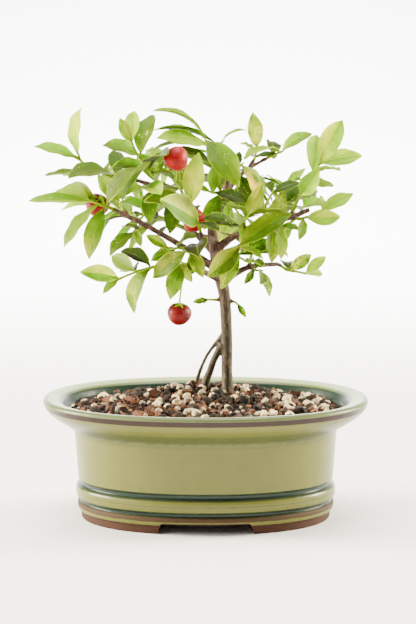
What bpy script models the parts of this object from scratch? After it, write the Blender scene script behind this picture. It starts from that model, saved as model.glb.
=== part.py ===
"""A Barbados cherry bonsai: a small leafy tree with red fruit, in an oval glazed pot.

Lengths are written in millimetres and turned to metres by MM. +Z is up and -Y is the front.
The origin is on the table, under the middle of the pot.
"""

import math
import random

import bmesh
import bpy
from mathutils import Matrix, Vector
from mathutils.bvhtree import BVHTree

MM = 0.001
UP = Vector((0, 0, 1))

# The pot, an oval of fired clay with a wide flat rim
RIM_HALF_LENGTH = 76.0
RIM_HALF_DEPTH = 60.5
RIM_WIDTH = 8.7
RIM_TOP = 56.5
LIP_THICKNESS = 2.2
OVERHANG = 14.6
COVE_BOTTOM = 41.0
BODY_TAPER = 1.5
WALL = 4.6
FLOOR_TOP = 11.0
RECESS_TOP = 6.0
FOOT_WIDTH = 6.0
NOTCH_HALF_WIDTH = 20.0
NOTCH_SLOPE = 3.0
NOTCH_HEIGHT = 5.0
DRAIN_RADIUS = 5.5
DRAIN_OFFSET = 25.0
POT_SIDES = 28
OVAL_POWER = 2.2
OVAL_CORE = 40.0

# The soil, a gritty mix mounded towards the trunk
SOIL_EDGE = 52.3
MOUND_HEIGHT = 5.6
MOUND_CENTRE = (1.0, 13.0)
MOUND_SPREAD = 26.0
RIPPLE_HEIGHT = 0.5
RIPPLE_WAVES = (0.31, 0.27)
SOIL_RINGS = 4
GRAINS = 54
GRAIN_RADIUS = (1.7, 3.2)
GRAIN_FULLNESS = 1.5
GRAIN_STRETCH = (0.75, 1.25)
GRAIN_SHIFT = 1.5
GRAIN_PROUD = 0.2
GOLDEN_ANGLE = math.radians(137.5)

# Clearances between pieces that touch
GAP = 0.3
HOLE_GAP = 0.35

# The drain screens, squares of plastic net over the pot's two holes
SCREEN_SIDE = 17.0
SCREEN_THICKNESS = 0.9
SCREEN_HOLE = 6.0
SCREEN_BAR = 1.4

# The leaves
BLADE_THICKNESS = 0.7
BLADE_CLEARANCE = 0.45
LEAF_ROWS = ((0.0, 0.0), (0.33, 0.92), (0.66, 0.86), (1.0, 0.0))
WIDTH_PER_LENGTH = 0.42
YOUNGEST_AT = 0.93
OLDEST_AT = 0.28
YOUNG_SIZE = 0.94
OLD_SPREAD = 14
OLD_SAG = 0.12
ROLL_SWAY = 14
SPREAD_SWAY = 8
SAG_SWAY = 0.08
LENGTH_RANGE = (0.88, 1.08)
WIDTH_RANGE = (0.9, 1.1)
TILT_SWAY = 28
FOLD_RANGE = (8, 24)
ARCH_RANGE = (0.25, 0.85)
OUTWARD_PULL = 0.5
STEEPEST_FACING = 0.15
DETOUR_SIZES = (1.0, 0.88, 0.76)
DETOUR_SWINGS = (0, 6, -6, 12, -12, 20, -20, 30, -30, 44, -44)
DETOUR_LIFTS = (0, 8, -8, 18, -18, 32, -32)
DETOUR_PUSHES = (0, 4, -4, 8, -8, 13, -13)
SHRINK_COST = 140
FREE_BLADE_FROM = 0.14
CLEAR_ROWS = ((0.0, 0.0), (FREE_BLADE_FROM, 0.39), *LEAF_ROWS[1:])
CROWN_CENTRE = (0, 0, 125)
LIGHT_FROM = Vector((0, -0.3, 0.8))
FRONT = Vector((0, -1, 0))
SPUR_LENGTH = 1.2
SPUR_RADIUS = (0.95, 0.85)
STEM_RADIUS = (0.8, 0.5)
SEED = 12

# The fruit and its stalk
FRUIT_SIDES = 9
FRUIT_RINGS = 6
LOBES = 3
LOBE_DEPTH = 0.04
FRUIT_FLATNESS = 0.92
DIMPLE_HEIGHT = 0.74
FRUIT_STALK_RADIUS = 0.42
STALK_RISE = 0.9
STALK_NECK = 2.6
CALYX_SEAT = 0.82
CALYX_RADIUS = 1.5
CALYX_HEIGHT = 0.9

# Woody parts: points (x, y, z, radius) along each
TRUNK = (
    (11, 11, 36, 2.4), (11, 10, 46, 3.0), (10.5, 10, 56, 2.9), (10, 10, 67, 2.6), (10, 9, 82, 2.6),
    (9, 8, 101, 2.7), (7, 6, 112, 3.2), (5, 5, 120, 2.9), (4, 5, 127, 2.5), (3, 4, 135, 2.2),
    (6, 5, 143, 2.0), (9, 6, 150, 1.8), (10, 6, 158, 1.5), (7, 4, 164, 1.2), (3, 2, 170, 1.0),
)
BOUGHS = {
    "left": (
        (7, 6, 114, 2.2), (-9, -4, 126, 1.5), (-26, -15, 137, 1.2), (-35, -22, 142, 1.1),
        (-40, -26, 145, 0.9),
    ),
    "low_left": ((8, 6, 110, 1.8), (-5, -6, 117, 1.1), (-16, -16, 119, 0.9)),
    "low_right": ((7, 6, 109, 1.9), (20, 10, 116, 1.3), (34, 16, 117, 1.0)),
    "right": (
        (4, 5, 124, 2.2), (14, 0, 132, 1.6), (26, -8, 138, 1.4), (38, -14, 141, 1.3), (47, -18, 145, 1.1),
    ),
    "top_right": ((9, 6, 150, 1.5), (14, 9, 157, 1.1), (20, 13, 162, 0.9), (27, 16, 166, 0.8)),
    "top_left": ((3, 4, 135, 1.9), (-7, -4, 146, 1.4), (-19, -12, 154, 1.1), (-30, -18, 158, 0.9)),
    "back_left": ((5, 6, 122, 2.0), (-5, 20, 131, 1.4), (-18, 32, 136, 1.0)),
    "back": ((4, 5, 138, 1.8), (8, 20, 145, 1.3), (10, 32, 150, 1.0)),
    "back_right": ((6, 6, 118, 2.0), (20, 22, 127, 1.4), (36, 32, 132, 1.0)),
    "front": ((4, 4, 129, 1.8), (1, -14, 132, 1.2), (-2, -26, 134, 1.0)),
    "front_right": ((5, 5, 122, 1.8), (9, -8, 125, 1.2), (13, -17, 127.5, 0.9)),
}
ROOTS = {
    "thin_prop": ((8, 9, 84, 1.2), (2, 12, 76, 0.8), (-1, 16, 70, 0.8), (-4, 20, 61, 1.0), (-6, 22, 48, 1.0)),
    "thick_prop": ((8, 9, 80, 1.8), (4, 11, 72, 1.6), (2, 13, 66, 1.7), (0, 15, 60, 1.9), (-2, 17, 46, 1.6)),
    "buried_front": ((11, 10, 48, 2.2), (14, -4, 42, 1.6), (18, -18, 34, 0.9)),
    "buried_right": ((11, 10, 47, 2.2), (24, 16, 41, 1.6), (36, 18, 32, 0.9)),
    "buried_left": ((11, 10, 46, 2.2), (0, 2, 38, 1.6), (-14, -6, 28, 0.9)),
}


class Spray:
    """One leafy stem: the bough and point that it springs from, its route, and how its leaf pairs are set.

    tips are the places that its leaves reach to, from the stem's tip back. A leaf with none follows the rule
    of roll, spread and sag. A tip's fourth number is how many degrees the blade is turned up and out from
    facing the front, and its fifth is the blade's arch.
    """

    def __init__(self, name, on, route, pairs, leaf, tips=(), roll=0, spread=50, sag=0.12, single=False):
        self.name = "leafy_stem_" + name
        self.on = on
        self.route = route
        self.pairs = pairs
        self.leaf = leaf
        self.tips = tips
        self.roll = roll
        self.spread = spread
        self.sag = sag
        self.single = single


SPRAYS = (
    Spray("top_left_tip", ("top_left", 3), ((-42, -19, 160), (-52, -20, 164), (-58, -22, 169)), 3, 25,
          ((-55, -30, 191, 48, 0.8), (-75, -30, 176, 50, 0.4), (-65, -12, 160, 60, 0.1),
           (-71, -32, 161, 62, 0.05), (-61, -24, 158, 35), (-42, -4, 171))),
    Spray("top_left_up", ("top_left", 2), ((-25, -13, 162), (-31, -13, 170), (-34, -13, 176)), 3, 22,
          ((-39, -12, 186, 30), (-33, -14, 189, 30), (-46, -22, 174, 25, 1.0), (-24, -6, 187, 45),
           (-42, -22, 164, 30), (-15, -39, 167))),
    Spray("top_left_front", ("top_left", 2), ((-23, -20, 155), (-28, -28, 156)), 2, 25,
          (None, None, None, (-25, -34, 140, 30)), roll=20, spread=55),
    Spray("cherry_stem", ("top_left", 1), ((-11, -14, 153), (-14, -22, 159)), 2, 22,
          ((-24, -36, 162), (-8, -20, 155), None, (-16, -30, 135, 40)), roll=10, spread=55),
    Spray("left_tip", ("left", 4), ((-46, -28, 147.5), (-52, -30, 150)), 3, 27,
          ((-78, -40, 150, 68, 0.1), (-68, -20, 153, 60), (-64, -16, 157, 15, 0.5),
           (-63, -36, 129, 80, 0.3), (-52, -38, 124, 30), (-33, -36, 166))),
    Spray("left_up", ("left", 3), ((-37, -26, 147), (-38, -28, 149)), 1, 28,
          ((-25, -32, 169), (-50, -14, 162))),
    Spray("left_down", ("left", 2), ((-29, -19, 136), (-32, -22, 135)), 2, 22,
          ((-43, -30, 125, 40, 0.9), (-29, -27, 129, 20), (-36, -8, 143), (-35, -14, 131)), sag=0.2),
    Spray("left_low", ("left", 1), ((-13, -12, 127), (-17, -18, 127)), 2, 23,
          ((-27, -16, 133, 30), None, None, (-25, -20, 121, 30)), roll=30, sag=0.45),
    Spray("left_back", ("left", 2), ((-33, -5, 141), (-42, 4, 144), (-50, 9, 146)), 3, 24,
          (None, (-68, 15, 142, 60), None, None, (-50, 8, 138))),
    Spray("low_left_tip", ("low_left", 2), ((-24, -20, 119), (-32, -24, 117), (-40, -28, 114)), 3, 24,
          ((-56, -34, 118, 35), (-46, -31, 108, 40), (-43, -10, 123, 40), (-37, -2, 118),
           (-34, -31, 99, 70, 1.5), (-39, -8, 125))),
    Spray("low_left_under", ("low_left", 1), ((-9, -14, 120), (-11, -20, 121)), 2, 20,
          ((-16, -27, 105, 25), (-6, -27, 112, 40), (-22, -10, 108)), sag=0.4),
    Spray("front_right_tip", ("front_right", 2), ((14.5, -21, 128), (16, -25, 129)), 2, 23,
          ((1, -33, 116), (26, -28, 123), (7, -28, 110, 15), (39, -18, 143))),
    Spray("front_right_low", ("front_right", 1), ((15, -12, 123), (19, -15, 121)), 2, 20,
          (None, (23, -10, 120), None, (11, -20, 117)), roll=40, sag=0.35),
    Spray("front_centre", ("front", 2), ((-3, -29, 139), (-6, -32, 144), (-7, -34, 148)), 2, 25,
          ((-27, -42, 150, 50, 1.1), (-3, -34, 171, 30), (-27, -47, 149, 25), (6, -44, 137))),
    Spray("front_low", ("front", 1), ((-4, -21, 129), (-8, -26, 127)), 2, 22,
          ((-24, -20, 114, 30), (-1, -28, 115), None, (-9, -20, 115)), roll=25, sag=0.4),
    Spray("crown", ("trunk", 14), ((1.5, 0.7, 173.5), (0, -0.5, 176)), 2, 26,
          ((-24, -6, 189, 75, 1.2), (15, -15, 155, 20), (-22, -15, 177, 30, 0.5))),
    Spray("crown_back", ("trunk", 13), ((7, 9, 168), (6, 13, 173)), 2, 23,
          ((-24, 12, 180, 75, 0.8), (19, 9, 180, 55, 1.1), (4, 30, 163)), roll=10),
    Spray("crown_low", ("trunk", 12), ((6, -1, 162), (3, -4, 165)), 1, 22,
          ((-15, 2, 172, 60), (3, -13, 152))),
    Spray("crown_right", ("trunk", 12), ((14, 1, 162), (17, -2, 165)), 2, 21,
          ((24, -11, 147), (30, -6, 152, 30, -0.1), (16, 4, 170, 40)), roll=15),
    Spray("right_back", ("trunk", 10), ((13, 10, 149), (20, 13, 156), (26, 14, 158.5)), 3, 19,
          ((36, 12, 154), (41, 14, 145), (30, 6, 145), None, (20, 1, 146)), sag=0.2),
    Spray("crown_front", ("trunk", 11), ((6, -2, 152), (3, -8, 152)), 2, 21,
          ((20, -13, 147), (-13, -20, 155))),
    Spray("top_right_tip", ("top_right", 3), ((31, 17, 168), (36, 18, 170)), 2, 19,
          ((50, 16, 178, 30, 0.9), (18, 8, 167), (31, 34, 174), (33, 24, 170, 60)), roll=20),
    Spray("top_right_up", ("top_right", 2), ((23, 14, 167), (24, 15, 171)), 2, 20,
          ((22, 16, 188, 15), (16, 8, 174, 40), (18, 22, 166, 40), (33, 18, 176, 40))),
    Spray("right_top", ("right", 3), ((40, -14, 145), (45, -15, 155), (49, -17, 162), (52, -18, 167)), 4, 22,
          ((62, -14, 185, 50), (71, -22, 169, 30), (51, -9, 178, 30), (60, -28, 163, 60), (59, -6, 155, 60),
           None, (51, -28, 164, 20), (48, -20, 152))),
    Spray("right_tip", ("right", 3), ((43, -20, 141), (49, -22, 143), (53, -23, 145)), 2, 22,
          ((67, -16, 152, 78, 0.1), (55, -10, 148), (42, -28, 132, 35), (61, -14, 143, 20, 0.1))),
    Spray("right_mid_up", ("right", 2), ((28, -6, 147), (31, -3, 152)), 2, 21,
          ((44, 0, 156, 50),), roll=20),
    Spray("right_mid_front", ("right", 2), ((30, -15, 137), (34, -20, 138)), 2, 22,
          ((34, -28, 123), (42, -24, 141), None, (30, -20, 121)), sag=0.2),
    Spray("right_front", ("right", 1), ((17, -11, 138), (19, -18, 142)), 3, 21, roll=10, sag=0.15),
    Spray("low_right_tip", ("low_right", 2), ((39, 17, 114), (44, 18, 113), (48, 19, 112)), 2, 15,
          ((57, 19, 120, 20), (56, 16, 111, 55), (50, 22, 121, 30, 0.9), (38, 34, 116))),
    Spray("low_right_under", ("low_right", 1), ((23, 7, 115), (26, 5, 115)), 2, 13,
          ((30, 2, 103, 35), (25, -2, 110, 40), (18, 1, 109, 30), (23, 20, 117)), sag=0.3),
    Spray("low_right_top", ("low_right", 1), ((22, 9, 123), (26, 9, 130)), 2, 21,
          (None, (39, 16, 120, 40), None, (31, 20, 123)), roll=10),
    Spray("trunk_left", ("trunk", 5), ((3.5, 6.5, 101), (1.5, 6, 101.2)), 1, 9,
          ((-6, 4, 100),), single=True),
    Spray("trunk_right", ("trunk", 5), ((13.5, 7, 100), (15, 6.5, 99)), 1, 9,
          ((19, 3, 93, 20),), single=True),
    Spray("back_left_tip", ("back_left", 2), ((-27, 35, 138), (-36, 36, 140)), 3, 25, roll=10),
    Spray("back_left_up", ("back_left", 2), ((-20, 33, 146), (-24, 33, 155)), 3, 24, sag=0.0),
    Spray("back_left_side", ("back_left", 1), ((-17, 23, 137), (-29, 22, 142)), 3, 25, spread=52),
    Spray("back_left_crown", ("back_left", 1), ((-8, 19, 143), (-13, 17, 155), (-18, 16, 163)), 3, 24),
    Spray("back_tip", ("back", 2), ((11, 37, 155), (10, 40, 160)), 3, 23,
          ((18, 40, 165), None, (11, 44, 167), None, None, (29, 38, 153)), roll=10, sag=0.05),
    Spray("back_crown", ("back", 1), ((6, 22, 157), (3, 21, 169)), 3, 25,
          ((-7, 25, 170), (10, 28, 172)), sag=0.05),
    Spray("back_low", ("back", 2), ((13, 37, 144), (16, 40, 139)), 2, 23, sag=0.3),
    Spray("back_right_tip", ("back_right", 2), ((43, 34, 137), (47, 34, 143)), 2, 20,
          (None, None, None, (38, 34, 125)), roll=10),
    Spray("back_right_up", ("back_right", 2), ((38, 31, 142), (39, 29, 151)), 3, 24,
          ((29, 28, 153), (48, 34, 161)), sag=0.0),
    Spray("back_right_side", ("back_right", 1), ((30, 24, 134), (37, 24, 141)), 2, 21,
          (None, None, None, (32, 26, 126))),
)
FRUITS = {
    "cherry_hanging": dict(on="leafy_stem_low_left_under", at=0.5, centre=(-12, -24, 98), radius=5.3),
    "cherry_top": dict(on="leafy_stem_cherry_stem", at=0.9, centre=(-13, -32, 168.5), radius=5.2),
    "cherry_front": dict(on="leafy_stem_front_centre", at=0.3, centre=(-5.3, -20, 140), radius=5.2),
    "cherry_left": dict(on="leafy_stem_left_tip", at=0.35, centre=(-49, -20, 147), radius=5.2),
}

COLOURS = {
    "glaze": ((0.42, 0.45, 0.28), 0.2),
    "soil": ((0.16, 0.09, 0.06), 0.95),
    "net": ((0.05, 0.05, 0.05), 0.6),
    "bark": ((0.20, 0.11, 0.06), 0.9),
    "leaf": ((0.30, 0.47, 0.10), 0.45),
    "fruit": ((0.60, 0.03, 0.03), 0.25),
}
SMOOTH_BELOW = math.radians(40)
WELD_REACHES = (0.002, 0.0005, 0.0)


def clear_scene():
    for thing in list(bpy.data.objects):
        bpy.data.objects.remove(thing)


def make_material(name):
    colour, roughness = COLOURS[name]
    material = bpy.data.materials.new(name)
    material.use_nodes = True
    shader = material.node_tree.nodes["Principled BSDF"]
    shader.inputs["Base Color"].default_value = (*colour, 1)
    shader.inputs["Roughness"].default_value = roughness
    shader.inputs["Metallic"].default_value = 0.0
    return material


def make_collection(name):
    collection = bpy.data.collections.new(name)
    bpy.context.scene.collection.children.link(collection)
    return collection


def point(values):
    """A point in metres from its first three numbers in millimetres."""
    return Vector(values[:3]) * MM


def object_from(bm, name, collection):
    mesh = bpy.data.meshes.new(name)
    bm.to_mesh(mesh)
    bm.free()
    made = bpy.data.objects.new(name, mesh)
    collection.objects.link(made)
    return made


def evaluated_mesh(thing):
    graph = bpy.context.evaluated_depsgraph_get()
    return bpy.data.meshes.new_from_object(thing.evaluated_get(graph))


def is_closed(mesh):
    bm = bmesh.new()
    bm.from_mesh(mesh)
    closed = all(edge.is_manifold for edge in bm.edges)
    bm.free()
    return closed


def boolean(thing, operation, collection):
    """Joins the collection's objects to a mesh, or cuts them from it, and removes them."""
    modifier = thing.modifiers.new(operation.title(), "BOOLEAN")
    modifier.operation = operation
    modifier.operand_type = "COLLECTION"
    modifier.collection = collection
    for solver in ("EXACT", "MANIFOLD"):
        modifier.solver = solver
        fused = evaluated_mesh(thing)
        if is_closed(fused):
            break
    thing.modifiers.remove(modifier)
    thing.data = fused
    for tool in list(collection.objects):
        bpy.data.objects.remove(tool)
    bpy.data.collections.remove(collection)


def finish(thing, material):
    """Welds points that all but touch, splits the mesh into triangles, and gives it its material."""
    for reach in WELD_REACHES:
        bm = bmesh.new()
        bm.from_mesh(thing.data)
        bmesh.ops.dissolve_degenerate(bm, edges=bm.edges, dist=reach * MM)
        bmesh.ops.remove_doubles(bm, verts=bm.verts, dist=reach * MM)
        idle = [vertex for vertex in bm.verts if len(vertex.link_edges) == 2]
        bmesh.ops.dissolve_verts(bm, verts=idle)
        bmesh.ops.triangulate(bm, faces=bm.faces)
        welded = bpy.data.meshes.new(thing.name)
        bm.to_mesh(welded)
        bm.free()
        if is_closed(welded):
            thing.data = welded
            break
    thing.data.materials.clear()
    thing.data.materials.append(material)
    thing.data.shade_smooth()
    thing.data.set_sharp_from_angle(angle=SMOOTH_BELOW)


def smooth_route(points, per_span):
    """Points on a curve that passes through the given ones."""
    padded = [points[0] * 2 - points[1], *points, points[-1] * 2 - points[-2]]
    route = []
    for a, b, c, d in zip(padded, padded[1:], padded[2:], padded[3:]):
        for step in range(per_span):
            t = step / per_span
            bend = (c - a) * t + (2 * a - 5 * b + 4 * c - d) * t**2 + (3 * b - a - 3 * c + d) * t**3
            route.append(b + bend * 0.5)
    return [*route, points[-1].copy()]


def tube(name, route, radii, collection, rounding=1):
    """A closed tube along a route, from a bevelled curve. radii holds one radius for each point."""
    curve = bpy.data.curves.new(name, "CURVE")
    curve.dimensions = "3D"
    curve.bevel_depth = 1.0
    curve.bevel_resolution = rounding
    curve.use_fill_caps = True
    spline = curve.splines.new("POLY")
    spline.points.add(len(route) - 1)
    for spot, place, radius in zip(spline.points, route, radii):
        spot.co = (*place, 1)
        spot.radius = radius
    shaped = bpy.data.objects.new(name, curve)
    collection.objects.link(shaped)
    bpy.context.view_layer.update()
    mesh = evaluated_mesh(shaped)
    bpy.data.objects.remove(shaped)
    bm = bmesh.new()
    bm.from_mesh(mesh)
    bpy.data.meshes.remove(mesh)
    bmesh.ops.remove_doubles(bm, verts=bm.verts, dist=0.001 * MM)
    bmesh.ops.recalc_face_normals(bm, faces=bm.faces)
    return object_from(bm, name, collection)


def limb(name, rows, collection, rounding=1, swell=0.0, per_span=2):
    """A tapering tube through rows of (x, y, z, radius). swell widens it and carries on its ends."""
    places = [point(row) for row in rows]
    if swell:
        places[0] += (places[0] - places[1]).normalized() * swell * MM
        places[-1] += (places[-1] - places[-2]).normalized() * swell * MM
    route = smooth_route(places, per_span)
    radii = []
    for first, second in zip(rows, rows[1:]):
        for step in range(per_span):
            radii.append(first[3] + (second[3] - first[3]) * step / per_span)
    radii.append(rows[-1][3])
    return tube(name, route, [(radius + swell) * MM for radius in radii], collection, rounding)


def oval_depth(radius):
    """Half the depth of the oval whose half length is radius. The rim overhangs alike all round."""
    inset = RIM_HALF_LENGTH - RIM_HALF_DEPTH
    if radius > OVAL_CORE:
        return radius - inset
    return radius * (OVAL_CORE - inset) / OVAL_CORE


def squeeze_to_oval(mesh):
    """Presses a round turned mesh into the pot's oval."""
    power = 2 / OVAL_POWER
    for vertex in mesh.vertices:
        radius = math.hypot(vertex.co.x, vertex.co.y)
        if radius < 1e-6:
            continue
        c, s = vertex.co.x / radius, vertex.co.y / radius
        vertex.co.x = math.copysign(abs(c) ** power, c) * radius
        vertex.co.y = math.copysign(abs(s) ** power, s) * oval_depth(radius / MM) * MM


def turned(name, profile, collection):
    """A solid turned from a profile of (radius, height), and pressed into the pot's oval."""
    bm = bmesh.new()
    spots = [bm.verts.new((radius * MM, 0, height * MM)) for radius, height in profile]
    for first, second in zip(spots, spots[1:]):
        bm.edges.new((first, second))
    made = object_from(bm, name, collection)
    screw = made.modifiers.new("Turn", "SCREW")
    screw.steps = POT_SIDES
    screw.render_steps = POT_SIDES
    screw.use_merge_vertices = True
    screw.merge_threshold = 0.01 * MM
    mesh = evaluated_mesh(made)
    made.modifiers.clear()
    made.data = mesh
    squeeze_to_oval(mesh)
    bm = bmesh.new()
    bm.from_mesh(mesh)
    bmesh.ops.recalc_face_normals(bm, faces=bm.faces)
    bm.to_mesh(mesh)
    bm.free()
    return made


def inner_wall():
    """(half length, height) up the pot's inside, from the floor's edge to the soil's edge."""
    body = RIM_HALF_LENGTH - OVERHANG - WALL
    inner = RIM_HALF_LENGTH - RIM_WIDTH
    return [
        (body - 3.0, FLOOR_TOP), (body - 1.0, FLOOR_TOP + 3), (body + 0.4, COVE_BOTTOM + 1),
        (inner - 2.0, SOIL_EDGE - 0.6),
    ]


def pot_profile():
    """(half length, height) from the floor's middle, out over the rim, to the middle of the underside."""
    rim = RIM_HALF_LENGTH
    inner = rim - RIM_WIDTH
    body = rim - OVERHANG
    rim_top = [
        (inner + 0.2, RIM_TOP - 0.9), (inner + 2.6, RIM_TOP),
        (rim - 1.4, RIM_TOP - 1.1), (rim, RIM_TOP - 2.0),
    ]
    cove = [
        (rim - 0.5, RIM_TOP - 2.0 - LIP_THICKNESS), (rim - 4.5, COVE_BOTTOM + 7.6),
        (rim - 9.4, COVE_BOTTOM + 4.2), (body, COVE_BOTTOM),
    ]
    low = body - BODY_TAPER
    bands = [
        (low, 19.4), (low - 1.1, 17.9), (low + 0.6, 16.0), (low + 0.9, 11.4),
        (low - 1.1, 9.2), (low + 0.3, 7.4), (low - 1.2, 5.0), (low - 1.5, 0),
    ]
    under = [(low - 1.2 - FOOT_WIDTH, 0), (low - 1.6 - FOOT_WIDTH, RECESS_TOP), (0, RECESS_TOP)]
    return [(0, FLOOR_TOP), *inner_wall(), *rim_top, *cove, *bands, *under]


def make_pot(collection, material):
    pot = turned("pot", pot_profile(), collection)
    cutters = make_collection("pot cutters")
    bm = bmesh.new()
    bmesh.ops.create_cube(bm, size=1.0)
    for vertex in bm.verts:
        lower = vertex.co.z < 0
        half = NOTCH_HALF_WIDTH + (NOTCH_SLOPE if lower else 0)
        vertex.co = (
            math.copysign(half, vertex.co.x) * MM,
            math.copysign(RIM_HALF_DEPTH, vertex.co.y) * MM,
            (-2.0 if lower else NOTCH_HEIGHT) * MM,
        )
    object_from(bm, "foot notch", cutters)
    for side in (-1, 1):
        bm = bmesh.new()
        bmesh.ops.create_cone(
            bm, cap_ends=True, segments=12, radius1=DRAIN_RADIUS * MM, radius2=DRAIN_RADIUS * MM,
            depth=20 * MM,
        )
        bmesh.ops.translate(bm, verts=bm.verts, vec=point((side * DRAIN_OFFSET, 0, FLOOR_TOP)))
        object_from(bm, "drain cutter", cutters)
    boolean(pot, "DIFFERENCE", cutters)
    finish(pot, material)


def mound(x, y):
    """Height of the soil at a place, in millimetres."""
    away = math.hypot(x - MOUND_CENTRE[0], y - MOUND_CENTRE[1])
    ripple = RIPPLE_HEIGHT * math.sin(RIPPLE_WAVES[0] * x + 1.0) * math.cos(RIPPLE_WAVES[1] * y)
    return SOIL_EDGE + MOUND_HEIGHT * math.exp(-((away / MOUND_SPREAD) ** 2)) + ripple


def grain_places():
    """Where the larger grains lie: (x, y, radius), spread by the golden angle over the soil."""
    draw = random.Random(SEED)
    reach = RIM_HALF_LENGTH - RIM_WIDTH - 6.5
    clear_of = [(*TRUNK[2][:2], 5.0), (*ROOTS["thin_prop"][3][:2], 3.0), (*ROOTS["thick_prop"][3][:2], 4.0)]
    for number in range(GRAINS):
        share = math.sqrt((number + 0.5) / GRAINS)
        angle = number * GOLDEN_ANGLE
        x = reach * share * math.cos(angle) + draw.uniform(-GRAIN_SHIFT, GRAIN_SHIFT)
        y = oval_depth(reach) * share * math.sin(angle) + draw.uniform(-GRAIN_SHIFT, GRAIN_SHIFT)
        radius = draw.uniform(*GRAIN_RADIUS)
        if all(math.hypot(x - a, y - b) > radius + r for a, b, r in clear_of):
            yield x, y, radius


def make_box(name, size, middle, collection):
    bm = bmesh.new()
    bmesh.ops.create_cube(bm, size=1.0)
    bmesh.ops.scale(bm, verts=bm.verts, vec=point(size))
    bmesh.ops.translate(bm, verts=bm.verts, vec=middle)
    return object_from(bm, name, collection)


def make_soil(collection, material):
    """The soil that fills the pot, with half-sunk grains, and plain holes where the tree and screens are."""
    side = [(radius - GAP, height) for radius, height in reversed(inner_wall())]
    side[-1] = (side[-1][0], FLOOR_TOP + GAP)
    edge = side[0][0]
    top = [(edge * ring / SOIL_RINGS, SOIL_EDGE) for ring in range(SOIL_RINGS)]
    soil = turned("soil", [*top, *side, (0, FLOOR_TOP + GAP)], collection)
    for vertex in soil.data.vertices:
        if abs(vertex.co.z - SOIL_EDGE * MM) < 1e-6:
            vertex.co.z = mound(vertex.co.x / MM, vertex.co.y / MM) * MM
    draw = random.Random(SEED + 1)
    grains = make_collection("grains")
    for number, (x, y, radius) in enumerate(grain_places()):
        bm = bmesh.new()
        bmesh.ops.create_cube(bm, size=radius * GRAIN_FULLNESS * MM)
        bmesh.ops.scale(bm, verts=bm.verts, vec=[draw.uniform(*GRAIN_STRETCH) for _ in range(3)])
        axis = Vector([draw.uniform(-1, 1) for _ in range(3)])
        bmesh.ops.rotate(bm, verts=bm.verts, matrix=Matrix.Rotation(draw.uniform(0, math.tau), 3, axis))
        bmesh.ops.translate(bm, verts=bm.verts, vec=point((x, y, mound(x, y) + radius * GRAIN_PROUD)))
        object_from(bm, f"grain {number}", grains)
    boolean(soil, "UNION", grains)
    holes = make_collection("holes in the soil")
    limb("trunk hole", TRUNK[:4], holes, 2, HOLE_GAP)
    for name, rows in ROOTS.items():
        limb(name + " hole", rows, holes, 1, HOLE_GAP)
    pocket = (SCREEN_SIDE + 2 * GAP, SCREEN_SIDE + 2 * GAP, 2 * (SCREEN_THICKNESS + 2 * GAP))
    for sign in (-1, 1):
        make_box("screen pocket", pocket, point((sign * DRAIN_OFFSET, 0, FLOOR_TOP)), holes)
    boolean(soil, "DIFFERENCE", holes)
    finish(soil, material)


def make_screen(name, side, collection, material):
    """A square of plastic net that keeps the soil in over a drain hole."""
    middle = point((side * DRAIN_OFFSET, 0, FLOOR_TOP + GAP + SCREEN_THICKNESS / 2))
    screen = make_box(name, (SCREEN_SIDE, SCREEN_SIDE, SCREEN_THICKNESS), middle, collection)
    holes = make_collection("net holes")
    step = (SCREEN_HOLE + SCREEN_BAR) / 2
    for column in (-step, step):
        for row in (-step, step):
            make_box("net hole", (SCREEN_HOLE, SCREEN_HOLE, 3), middle + point((column, row, 0)), holes)
    boolean(screen, "DIFFERENCE", holes)
    finish(screen, material)


def perch(spray):
    """Where a spray springs from: the point on the wood, the spur's length from it, and its direction."""
    wood, index = spray.on
    rows = TRUNK if wood == "trunk" else BOUGHS[wood]
    start = point(rows[index])
    direction = (point(spray.route[0]) - start).normalized()
    reach = rows[index][3] + SPUR_LENGTH
    if index < len(rows) - 1:
        grain = (point(rows[index + 1]) - point(rows[index - 1])).normalized()
        clear = rows[index][3] + STEM_RADIUS[0] + 2 * GAP
        reach = max(reach, clear / direction.cross(grain).length)
    return start, reach * MM, direction


def make_tree(collection, material):
    """Trunk, prop roots, buried roots and boughs in one, with a short spur where each spray springs."""
    tree = limb("trunk", TRUNK, collection, 2)
    parts = make_collection("wood")
    for rows in (*BOUGHS.values(), *ROOTS.values()):
        limb("limb", rows, parts, 1)
    for spray in SPRAYS:
        start, reach, direction = perch(spray)
        ends = [start, start + direction * reach]
        tube("spur", ends, [radius * MM for radius in SPUR_RADIUS], parts, 0)
    boolean(tree, "UNION", parts)
    finish(tree, material)
    return tree


def stem_route(spray):
    """The stem's centreline, from just past its spur to its tip."""
    start, reach, direction = perch(spray)
    return [start + direction * (reach + GAP * MM), *(point(spot) for spot in spray.route)]


def along(route, share):
    """The point and direction at a share of a route's length."""
    lengths = [(b - a).length for a, b in zip(route, route[1:])]
    left = share * sum(lengths)
    for a, b, length in zip(route, route[1:], lengths):
        if left <= length:
            break
        left -= length
    return a.lerp(b, min(1.0, left / length)), (b - a).normalized()


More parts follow.
